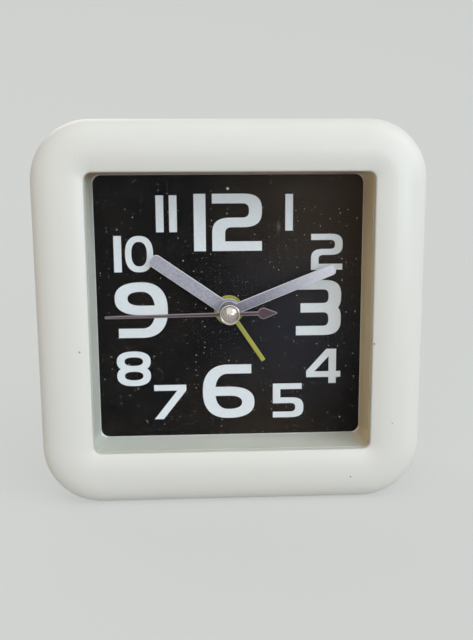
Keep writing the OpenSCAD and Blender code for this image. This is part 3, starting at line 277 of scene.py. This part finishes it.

# %% [markdown]
# ## A painted sheen on the minute hand
# The minute hand is painted darker near the hub and paler toward its outer end, a painted
# sheen, for its tip mirrors more light. Two finishes would meet in a line across the hand, so
# one finish goes slowly from the dark lacquer to the pale. The hand points right at rest, so X
# says how far out a point lies. The painted sheen stays on the hand when it turns, because it
# is read in the hand's own space.

# %% Painted sheen along the hand
sheen_from, sheen_to, sheen_share = 10 * mm, 31 * mm, 0.55
tree = silver_painted_sheen.node_tree
base = tree.nodes["Principled BSDF"].inputs["Base Color"]
place = add(tree, "ShaderNodeTexCoord").outputs["Object"]
where = add(tree, "ShaderNodeSeparateXYZ", links={"Vector": place})
outward = add(tree, "ShaderNodeMapRange", {"From Min": sheen_from, "From Max": sheen_to},
              {"Value": where.outputs["X"]})
sheen_colours = add(tree, "ShaderNodeMix", {"data_type": "RGBA", 6: linear("#787684"),
                                       7: linear("#F0EEF4")}, {0: outward.outputs["Result"]})
painted_sheen = add(tree, "ShaderNodeMix", {"data_type": "RGBA", 0: sheen_share},
            {6: base.links[0].from_socket, 7: sheen_colours.outputs[2]})
tree.links.new(painted_sheen.outputs[2], base)
print("faded from", round(sheen_from / mm), "to", round(sheen_to / mm), "mm out")

# %% [markdown]
# ## Dust on the black ink
# Years of dust lie behind the lens, and the black ink shows each grain. Modelled grains
# would be thousands of faces that nobody can touch, so a flat Voronoi pattern, laid over X
# and Z, gives one grain to a cell: its colour decides whether the cell has one, how large it
# is and how bright. Three sizes of cell make a fine dust with a few larger crumbs.

# %% Grains of three sizes
smallest_grain = 0.4


def dusted(finish, cell, share, radius, strength):
    tree = finish.node_tree
    place = add(tree, "ShaderNodeTexCoord").outputs["Object"]
    flat = add(tree, "ShaderNodeMapping", {"Rotation": (math.pi / 2, 0, 0)}, {"Vector": place})
    cells = add(tree, "ShaderNodeTexVoronoi",
                {"voronoi_dimensions": "2D", "Scale": 1 / (cell * mm), "Randomness": 1.0},
                {"Vector": flat.outputs["Vector"]})
    chance = add(tree, "ShaderNodeSeparateColor", links={"Color": cells.outputs["Color"]})
    reach = add(tree, "ShaderNodeMapRange", {"To Min": smallest_grain * radius / cell,
                                             "To Max": radius / cell},
                {"Value": chance.outputs["Green"]})
    grain = add(tree, "ShaderNodeMath", {"operation": "LESS_THAN"},
                {0: cells.outputs["Distance"], 1: reach.outputs["Result"]})
    bright = add(tree, "ShaderNodeMapRange", {"From Min": 1 - share, "To Max": strength},
                 {"Value": chance.outputs["Red"]})
    grains = add(tree, "ShaderNodeMath", {"operation": "MULTIPLY"},
                 {0: grain.outputs["Value"], 1: bright.outputs["Result"]})
    lay_over(finish, "#C9CAC6", grains.outputs["Value"])


dusted(ink_black, cell=1.4, share=0.6, radius=0.12, strength=0.42)
dusted(ink_black, cell=2.6, share=0.5, radius=0.16, strength=1.0)
dusted(ink_black, cell=7, share=0.45, radius=0.2, strength=1.0)
print("dust of 3 sizes")

# %% [markdown]
# ## A veil between the grains
# Finer dust can't be told apart and only lightens the ink. A wide soft noise lays a faint
# veil over the whole square. Three balls, each fading out from its middle, lay more colour
# on it: a brown one in the upper right corner, which is a painted reflection of a brown room
# in the lens, a brown haze low on the dial and a cool one beside the hub. One pale scuff, a
# stretched ball, stands beside the numeral 1.

# %% Veil, a painted reflection and two hazy places
brown_dust_and_reflection, cool_haze = "#A88F72", "#9CA0BE"
dial_y = -5 * mm
veil_size, veil_cover = 17, 0.02
tree = ink_black.node_tree
place = add(tree, "ShaderNodeTexCoord").outputs["Object"]
drifts = add(tree, "ShaderNodeTexNoise", {"Scale": 1 / (veil_size * mm), "Detail": 6.0},
             {"Vector": place})
veil = add(tree, "ShaderNodeMapRange", {"From Min": 0.48, "From Max": 0.75,
                                        "To Max": veil_cover}, {"Value": drifts.outputs["Fac"]})
lay_over(ink_black, brown_dust_and_reflection, veil.outputs["Result"])
# The first row is a painted reflection of a brown room in the lens; the other two are hazes.
for x, z, reach, thickness, colour in ((34 * mm, 92 * mm, 45 * mm, 0.085, brown_dust_and_reflection),
                                       (20 * mm, 52 * mm, 32 * mm, 0.04, cool_haze),
                                       (12 * mm, 14 * mm, 30 * mm, 0.04, brown_dust_and_reflection)):
    away = add(tree, "ShaderNodeVectorMath", {"operation": "DISTANCE", 1: (x, dial_y, z)},
               {0: place})
    haze = add(tree, "ShaderNodeMapRange", {"From Min": reach, "From Max": 0.2 * reach,
                                            "To Max": thickness}, {"Value": away.outputs["Value"]})
    lay_over(ink_black, colour, haze.outputs["Result"])
print("veil", veil_size, "mm wide and 3 hazy places")

# %% One scuff
scuff_middle = (15 * mm, -5.1 * mm, 81.3 * mm)
scuff_stretch = (0.9, 1, 2.2)
scuff_cover = 0.12
scuff_at = add(tree, "ShaderNodeMapping", {"vector_type": "TEXTURE", "Scale": scuff_stretch,
                                           "Location": scuff_middle}, {"Vector": place})
scuff_far = add(tree, "ShaderNodeVectorMath", {"operation": "LENGTH"},
                {0: scuff_at.outputs["Vector"]})
scuff = add(tree, "ShaderNodeMapRange", {"From Min": 1.0 * mm, "From Max": 0.1 * mm,
                                         "To Max": scuff_cover},
            {"Value": scuff_far.outputs["Value"]})
lay_over(ink_black, "#C4C4C4", scuff.outputs["Result"])
print("scuff", 2 * scuff_stretch[2], "mm long")

# %% [markdown]
# ## Metals
# A metal keeps the default IOR: its colour does the work. What sets one metal surface off
# from another is its roughness and the direction of its grain. Rolled and drawn metal has
# long fine lines. The shader's anisotropy could stretch the highlights, but shows no lines,
# so the noise is squeezed across them instead. The cap of the hands is polished and chrome
# plated, and shows the room like a mirror, with a trace of fine wear.

# %% A metal finish
groove_shade = 0.86
metal_swing = 0.3


def metal(name, colour, roughness, lines=(1, 1, 1), grain=0.15, depth=0.006):
    finish, tree, shader = new_finish(name)
    shader.inputs["Metallic"].default_value = 1.0
    place = add(tree, "ShaderNodeTexCoord").outputs["Object"]
    along = add(tree, "ShaderNodeMapping", {"Scale": lines}, {"Vector": place})
    streak = add(tree, "ShaderNodeTexNoise", {"Scale": 1 / (grain * mm), "Detail": 3.0},
                 {"Vector": along.outputs["Vector"]})
    groove = [c * groove_shade for c in linear(colour)[:3]] + [1.0]
    shade = add(tree, "ShaderNodeMix", {"data_type": "RGBA", 6: groove, 7: linear(colour)},
                {0: streak.outputs["Fac"]})
    tree.links.new(shade.outputs[2], shader.inputs["Base Color"])
    gloss = add(tree, "ShaderNodeMapRange", {"To Min": roughness * (1 - metal_swing),
                                             "To Max": roughness * (1 + metal_swing)},
                {"Value": streak.outputs["Fac"]})
    tree.links.new(gloss.outputs["Result"], shader.inputs["Roughness"])
    bump = add(tree, "ShaderNodeBump", {"Strength": 0.4, "Distance": depth * mm},
               {"Height": streak.outputs["Fac"]})
    tree.links.new(bump.outputs["Normal"], shader.inputs["Normal"])
    return finish


print("a metal's gloss varies by", metal_swing)

# %% Eight metals and a magnet
# Chrome mirrors, zinc is duller and bluish, nickel warmer. Rolled strip and drawn cans have
# lines along them, a turned brass arbor has rings, and oxide darkens the laminations.
# The cap's chrome is darkened and warm: partly its plating, partly a painted reflection of a brown
# wooden table.
chrome = metal("polished chrome plate", "#C2B8B1", 0.06, grain=0.4, depth=0.001)
plated_steel = metal("zinc plated steel", "#B8BCC2", 0.34, grain=0.3)
spring_steel = metal("nickel plated spring steel", "#C3C3C0", 0.28, lines=(0.1, 1, 1))
contact_brass = metal("rolled brass strip", "#D2B068", 0.3, lines=(0.1, 1, 1))
turned_brass = metal("turned brass", "#D8B871", 0.26, lines=(1, 4, 1))
crystal_can = metal("drawn nickel silver can", "#C9C7C0", 0.22, lines=(1, 0.2, 1))
lamination = metal("silicon steel lamination", "#8F9296", 0.42, lines=(0.2, 1, 1))
copper = metal("enamelled copper winding", "#B8693C", 0.3, lines=(0.05, 1, 1), grain=0.12,
               depth=0.03)
# Enamel is a clear varnish, so the wire has a coat over its metal.
copper.node_tree.nodes["Principled BSDF"].inputs["Coat Weight"].default_value = 0.6
# Ferrite is a dark ceramic of fine grains: it has no metal's shine, but a high IOR.
ferrite = coated("sintered ferrite, dark grey", "#3B3A3D", "#464549", 0.5, patch=0.3, ior=2.2)
print("8 metals and a magnet")

# %% [markdown]
# ## The battery's jacket
# An AA cell is a steel can in a shrunk printed film. The film stops short of both ends,
# where the bare steel shows. A second shell for the film would be thinner than a hair, so
# one finish holds both. The cell lies along X, so X decides where the film ends, and where
# its gold band does.

# %% Jacket and steel ends
cell_low, cell_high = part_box("battery")
bare_left, bare_right, band_width = 0.6 * mm, 1.6 * mm, 14 * mm
cell_finish = coated("shrink film on a steel can", "#33363A", "#2B2E31", 0.3, patch=3)
tree = cell_finish.node_tree
place = add(tree, "ShaderNodeTexCoord").outputs["Object"]
along = add(tree, "ShaderNodeSeparateXYZ", links={"Vector": place})
past_left = add(tree, "ShaderNodeMath", {"operation": "GREATER_THAN", 1: cell_low.x + bare_left},
                {0: along.outputs["X"]})
before_right = add(tree, "ShaderNodeMath",
                   {"operation": "LESS_THAN", 1: cell_high.x - bare_right},
                   {0: along.outputs["X"]})
film = add(tree, "ShaderNodeMath", {"operation": "MULTIPLY"},
           {0: past_left.outputs["Value"], 1: before_right.outputs["Value"]})
bare = add(tree, "ShaderNodeMath", {"operation": "SUBTRACT", 0: 1.0}, {1: film.outputs["Value"]})
band = add(tree, "ShaderNodeMath", {"operation": "LESS_THAN", 1: cell_low.x + band_width},
           {0: along.outputs["X"]})
lay_over(cell_finish, "#B58A3C", band.outputs["Value"])
lay_over(cell_finish, "#C6C7C8", bare.outputs["Value"])
tree.links.new(bare.outputs["Value"], tree.nodes["Principled BSDF"].inputs["Metallic"])
print("cell from", round(cell_low.x / mm, 1), "to", round(cell_high.x / mm, 1), "mm")

# %% [markdown]
# ## The lens
# A clear acrylic pane, 1.5 mm thick, lies behind the frame's lip. Acrylic bends light with
# an IOR of 1.49. Its mirror image of the pale room is toned down by the specular tint, so
# that the black ink behind stays black. Glass stops the lamps' direct rays in Cycles, so a
# Light Path node lets those through to the dial, which would be too dark otherwise. Fine
# wiping scratches only change its roughness.

# %% Clear acrylic
acrylic, tree, shader = new_finish("clear acrylic")
for name, value in {"Base Color": linear("#FFFFFF"), "IOR": 1.49, "Transmission Weight": 1.0,
                    "Specular Tint": linear("#383838")}.items():
    shader.inputs[name].default_value = value
scratch_size, scratch_stretch, wiping_slant = 0.8, 0.05, 0.6
place = add(tree, "ShaderNodeTexCoord").outputs["Object"]
wiped = add(tree, "ShaderNodeMapping", {"Rotation": (0, wiping_slant, 0),
                                        "Scale": (scratch_stretch, 1, 1)}, {"Vector": place})
hairlines = add(tree, "ShaderNodeTexNoise", {"Scale": 1 / (scratch_size * mm), "Detail": 4.0},
                {"Vector": wiped.outputs["Vector"]})
scratched = add(tree, "ShaderNodeMapRange", {"From Min": 0.6, "From Max": 0.8, "To Min": 0.0,
                                             "To Max": 0.03}, {"Value": hairlines.outputs["Fac"]})
tree.links.new(scratched.outputs["Result"], shader.inputs["Roughness"])
print("acrylic, IOR", round(shader.inputs["IOR"].default_value, 2))

# %% Let the lamps through
clear = add(tree, "ShaderNodeBsdfTransparent", {"Color": linear("#FFFFFF")})
ray = add(tree, "ShaderNodeLightPath")
lamp_ray = add(tree, "ShaderNodeMath", {"operation": "MAXIMUM"},
               {0: ray.outputs["Is Shadow Ray"], 1: ray.outputs["Is Diffuse Ray"]})
pane = add(tree, "ShaderNodeMixShader", links={0: lamp_ray.outputs["Value"],
                                               1: shader.outputs["BSDF"],
                                               2: clear.outputs["BSDF"]})
tree.links.new(pane.outputs["Shader"], tree.nodes["Material Output"].inputs["Surface"])
print("shadow and diffuse rays pass the lens")

# %% [markdown]
# ## Give each part its finish
# The record names a material slot for every part, and the imported mesh carries that name.
# A table from slot to finish dresses nearly the whole clock; only the front frame is
# glossier than the housing that shares its slot, and the minute hand has a painted sheen.

# %% Dress the parts
finishes = {
    "ivory_abs": case_back_abs, "clear_window": acrylic, "pale_tube": tube_abs_painted_light_shade,
    "dial_sheet": dial_sheet, "dial_black": ink_black, "dial_white": ink_white,
    "screw_steel": plated_steel, "foot_rubber": foot_rubber, "movement_white": movement_white,
    "gear_acetal": gear_acetal, "pipe_acetal": pipe_acetal, "seconds_brass": turned_brass,
    "magnet_ferrite": ferrite, "lamination_steel": lamination, "copper_wire": copper,
    "board_green": solder_mask, "black_moulding": epoxy_black, "crystal_can": crystal_can,
    "contact_brass": contact_brass, "contact_steel": spring_steel, "cell_jacket": cell_finish,
    "knob_white": knob_abs, "switch_grey": switch_abs, "hand_silver": hand_silver,
    "hand_plum": hand_plum, "hand_olive": hand_olive, "cap_chrome": chrome,
}
for part in frame["nodes"].values():
    slot = part.material_slots[0].material.name
    part.material_slots[0].material = finishes[slot]
own_finish = {"front_frame": ivory_abs, "minute_hand": silver_painted_sheen}
for name, finish in own_finish.items():
    frame["nodes"][name].material_slots[0].material = finish
print("dressed", len(frame["nodes"]), "parts in", len(finishes) + len(own_finish), "finishes")

# %% [markdown]
# ## Softer edges on the case
# The CAD frame is a chain of narrow flat strips, which a glossy surface gives away. More
# strips in CAD would only make them narrower. A copy of its mesh is welded and shaded
# smooth instead, and weighted normals keep the big faces flat. The housing behind it gets
# the same.

# %% Copy a CAD part and rework it
weld_distance = 0.0005 * mm


def reworked(node, name):
    source = frame["nodes"][node]
    piece = bpy.data.objects.new(name, source.data.copy())
    bpy.context.collection.objects.link(piece)
    bpy.ops.object.select_all(action="DESELECT")
    piece.select_set(True)
    bpy.context.view_layer.objects.active = piece
    bpy.ops.mesh.customdata_custom_splitnormals_clear()
    bpy.ops.object.mode_set(mode="EDIT")
    bpy.ops.mesh.select_all(action="SELECT")
    bpy.ops.mesh.remove_doubles(threshold=weld_distance)
    bpy.ops.object.mode_set(mode="OBJECT")
    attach(piece, source["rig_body"])
    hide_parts(node)
    return piece


def apply(piece, kind, name, **settings):
    change = piece.modifiers.new(name, kind)
    for key, value in settings.items():
        setattr(change, key, value)
    bpy.context.view_layer.objects.active = piece
    bpy.ops.object.modifier_apply(modifier=name)


sharpest_bend = math.radians(24)
for node, name in (("front_frame", "front_frame_moulding"),
                   ("rear_housing", "rear_housing_moulding")):
    piece = reworked(node, name)
    bpy.ops.object.shade_smooth_by_angle(angle=sharpest_bend)
    apply(piece, "WEIGHTED_NORMAL", "flat faces stay flat", keep_sharp=True, weight=80)
    print(name, len(piece.data.polygons), "faces")

# %% [markdown]
# ## The hands
# The hands are stamped from thin sheet. The punch rolls the edges over a little, and that
# narrow slope is what glints: the long upper edges of the hour and minute hands are nearly
# white, and the plum second hand is a dark line between two pale ones, where its lacquer
# has worn off. A Bevel modifier would also cut the back edge, which nobody sees. Here the
# front face is inset by the slope's width, the old outline is pushed back by its depth, and
# the slope gets a finish of its own.

# %% Roll an edge over
flush = 0.01 * mm
faces_front, faces_side = -0.99, -0.3


def start_picking(piece, points=False, edges=False, faces=False):
    bpy.context.tool_settings.mesh_select_mode = (points, edges, faces)
    for part in (piece.data.vertices, piece.data.edges, piece.data.polygons):
        part.foreach_set("select", [False] * len(part))


def rolled_edge(piece, width, depth, finish):
    front = min(v.co.y for v in piece.data.vertices)
    start_picking(piece, faces=True)
    for face in piece.data.polygons:
        face.select = face.normal.y < faces_front and face.center.y < front + flush
    bpy.ops.object.mode_set(mode="EDIT")
    bpy.ops.mesh.inset(thickness=width * mm, depth=0)
    bpy.ops.object.mode_set(mode="OBJECT")
    inner_points = {v for face in piece.data.polygons if face.select for v in face.vertices}
    start_picking(piece, points=True)
    for point in piece.data.vertices:
        point.select = point.co.y < front + flush and point.index not in inner_points
    bpy.ops.object.mode_set(mode="EDIT")
    bpy.ops.transform.translate(value=(0, depth * mm, 0))
    bpy.ops.object.mode_set(mode="OBJECT")
    piece.data.materials.append(finish)
    for face in piece.data.polygons:
        face.material_index = int(faces_front < face.normal.y < faces_side)


# The silver slope's near-white is partly bare burnished sheet and partly a painted highlight, the
# glint of the upper edges; it covers the lower edges too.
edge_silver_and_highlight = coated("burnished edge of sheet, painted highlight", "#DCDDE0", "#D0D1D5", 0.45, patch=0.5, metallic=0.1)
edge_plum = coated("worn edge of sheet", "#8E8286", "#7C7177", 0.4, patch=0.5, metallic=0.2)
edge_olive = coated("bare edge of sheet, olive", "#BDB75A", "#B0AA4E", 0.36, patch=0.5)
print("3 finishes for worn edges")

# %% Four hands
# Each row has the part, its slot, the slope's width and depth in mm, and its finish.
for node, slot, width, depth, finish in (("hour_hand", "hand_silver", 0.22, 0.1, edge_silver_and_highlight),
                                         ("minute_hand", "hand_silver", 0.22, 0.1, edge_silver_and_highlight),
                                         ("second_hand", "hand_plum", 0.3, 0.12, edge_plum),
                                         ("alarm_hand", "hand_olive", 0.16, 0.1, edge_olive)):
    piece = reworked(node, node + "_sheet")
    rolled_edge(piece, width, depth, finish)
    print(piece.name, sum(f.material_index for f in piece.data.polygons), "faces of edge")

# %% [markdown]
# ## The studio's paper
# The clock stands on one pale sheet that runs over the table and curves up behind it. A
# floor and a wall would meet in a line behind the clock. A sheet with a bevelled bend has
# none: its back edge is pulled up, and the fold is rounded.

# %% Sweep of pale paper
sheet_width, sheet_depth, sheet_height, bend = 3.6, 2.2, 1.4, 0.35


def pick_edges(piece, test):
    start_picking(piece, edges=True)
    for edge in piece.data.edges:
        edge.select = all(test(piece.data.vertices[v].co) for v in edge.vertices)


bpy.ops.object.select_all(action="DESELECT")
bpy.ops.mesh.primitive_plane_add(size=1, location=(0, -0.4, 0))
paper = bpy.context.object
paper.name = "paper_sweep"
paper.scale = (sheet_width, sheet_depth, 1)
bpy.ops.object.transform_apply(location=True, rotation=True, scale=True)
back_y = max(v.co.y for v in paper.data.vertices)
pick_edges(paper, lambda p: p.y > back_y - mm)
bpy.ops.object.mode_set(mode="EDIT")
bpy.ops.mesh.extrude_region_move(TRANSFORM_OT_translate={"value": (0, 0, sheet_height)})
bpy.ops.object.mode_set(mode="OBJECT")
pick_edges(paper, lambda p: p.y > back_y - mm and p.z < mm)
bpy.ops.object.mode_set(mode="EDIT")
bpy.ops.mesh.bevel(offset=bend, segments=24)
bpy.ops.object.mode_set(mode="OBJECT")
bpy.ops.object.shade_smooth()
print("paper with", len(paper.data.polygons), "faces")

# %% [markdown]
# ## Pale to look at
# The paper is matt and a middling grey, so that it throws no glare up at the clock. Seen
# straight, in the chrome or through the lens it should look paler. A Light Path node tells
# those rays from the ones that light the clock, and a share of plain glow is added for them
# alone, so that the clock's shadow stays.

# %% The paper's finish
def looked_at(tree):
    ray = add(tree, "ShaderNodeLightPath")
    mirrored = add(tree, "ShaderNodeMath", {"operation": "MAXIMUM"},
                   {0: ray.outputs["Is Glossy Ray"], 1: ray.outputs["Is Transmission Ray"]})
    seen = add(tree, "ShaderNodeMath", {"operation": "MAXIMUM"},
               {0: ray.outputs["Is Camera Ray"], 1: mirrored.outputs["Value"]})
    return seen.outputs["Value"]


glow_share = 0.6
pale_paper, tree, shader = new_finish("matt background paper")
shader.inputs["Base Color"].default_value = linear("#BAB7B2")
shader.inputs["Roughness"].default_value = 0.9
glow = add(tree, "ShaderNodeEmission", {"Color": linear("#E4E8E7"), "Strength": 1.0})
lift = add(tree, "ShaderNodeMath", {"operation": "MULTIPLY", 1: glow_share}, {0: looked_at(tree)})
page = add(tree, "ShaderNodeMixShader", links={0: lift.outputs["Value"],
                                               1: shader.outputs["BSDF"],
                                               2: glow.outputs["Emission"]})
tree.links.new(page.outputs["Shader"], tree.nodes["Material Output"].inputs["Surface"])
paper.data.materials.append(pale_paper)
print("paper glows by", glow_share)

# %% [markdown]
# ## Lamps
# Four area lamps stand in for windows and soft boxes, because a wide lamp gives plastic
# soft shadows and broad highlights. A large one in front lights the dial down in its well.
# A smaller one far to the right brightens that shoulder and reaches onto the left wall of
# the window. A low one cools the lower edge, and one behind lights the back. Each is turned
# to face the middle of the clock.

# %% Four soft boxes
clock_middle = (0, 0, 56 * mm)


def soft_lamp(name, place, width, watts, colour=(1, 1, 1)):
    bpy.ops.object.light_add(type="AREA", location=place)
    lamp = bpy.context.object
    lamp.name = name
    lamp.data.size = width
    lamp.data.energy = watts
    lamp.data.color = colour
    toward = [a - p for a, p in zip(clock_middle, place)]
    flat = math.hypot(toward[0], toward[1])
    lamp.rotation_euler = (math.pi / 2 + math.atan2(toward[2], flat), 0,
                           math.atan2(-toward[0], toward[1]))


soft_lamp("right_softbox", (0.8, -0.61, 0.6), width=0.7, watts=2.8, colour=(0.93, 1, 1.05))
soft_lamp("front_softbox", (0.1, -1.15, 0.9), width=2.0, watts=10.3, colour=(0.96, 1, 1.03))
soft_lamp("low_softbox", (0.62, -1.15, 0.1), width=0.5, watts=3.0, colour=(0.8, 1, 1.18))
soft_lamp("rear_softbox", (-0.35, 0.55, 0.75), width=0.6, watts=2.0)
print("4 lamps")

# %% [markdown]
# ## The room
# A pale room does most of the lighting. It is brighter above, warmer and dimmer on the
# left, and darker behind the camera. A picture of a real room could light the clock too,
# but three slopes, one along each axis, are enough for soft plastic and need no file.
# Looked at or mirrored, the room is an even pale grey.

# %% Light from the room
below_light, above_light, behind_light, left_light = 0.4, 0.83, 0.6, 0.5
world = bpy.data.worlds.new("pale room")
bpy.context.scene.world = world
world.use_nodes = True
tree = world.node_tree
room = tree.nodes["Background"]
toward = add(tree, "ShaderNodeTexCoord").outputs["Generated"]
way = add(tree, "ShaderNodeSeparateXYZ", links={"Vector": toward})
right = add(tree, "ShaderNodeMapRange", {"From Min": -1.0}, {"Value": way.outputs["X"]})
tint = add(tree, "ShaderNodeMix", {"data_type": "RGBA", 6: linear("#F3DFC4"), 7: linear("#F4FBFF")},
           {0: right.outputs["Result"]})
tree.links.new(tint.outputs[2], room.inputs["Color"])
above = add(tree, "ShaderNodeMapRange", {"From Min": -0.2, "To Min": below_light,
                                         "To Max": above_light}, {"Value": way.outputs["Z"]})
behind = add(tree, "ShaderNodeMapRange", {"From Min": -1.0, "From Max": -0.2,
                                          "To Min": behind_light}, {"Value": way.outputs["Y"]})
beside = add(tree, "ShaderNodeMapRange", {"From Min": -1.0, "From Max": 0.2,
                                          "To Min": left_light}, {"Value": way.outputs["X"]})
front = add(tree, "ShaderNodeMath", {"operation": "MULTIPLY"},
            {0: above.outputs["Result"], 1: behind.outputs["Result"]})
level = add(tree, "ShaderNodeMath", {"operation": "MULTIPLY"},
            {0: front.outputs["Value"], 1: beside.outputs["Result"]})
tree.links.new(level.outputs["Value"], room.inputs["Strength"])
print("room from", below_light, "below to", above_light, "above")

# %% The room as it is seen
pale = add(tree, "ShaderNodeBackground", {"Color": linear("#D4D6D4"), "Strength": 1.0})
wall = add(tree, "ShaderNodeMixShader", links={0: looked_at(tree), 1: room.outputs["Background"],
                                               2: pale.outputs["Background"]})
tree.links.new(wall.outputs["Shader"], tree.nodes["World Output"].inputs["Surface"])
bpy.context.scene.view_settings.view_transform = "Standard"
print("a pale grey wall")

# %% [markdown]
# ## The camera
# A clock on a table is seen from close by, a little to the left and from just above its
# middle. Near objects show perspective, so the camera stands where the eye does and is
# given the lens that frames the clock from there. A longer lens from further off would
# show less of the tube's walls.

# %% Camera
camera_place = (-8.03 * mm, -228.30 * mm, 88.85 * mm)
camera_turn = (80.787, 0.368, -2.638)
bpy.ops.object.camera_add(location=camera_place,
                          rotation=[math.radians(angle) for angle in camera_turn])
camera = bpy.context.object
camera.data.sensor_width = 36
camera.data.lens = 41.05
camera.data.clip_start = 0.01
bpy.context.scene.camera = camera
print("lens", round(camera.data.lens, 2), "mm")
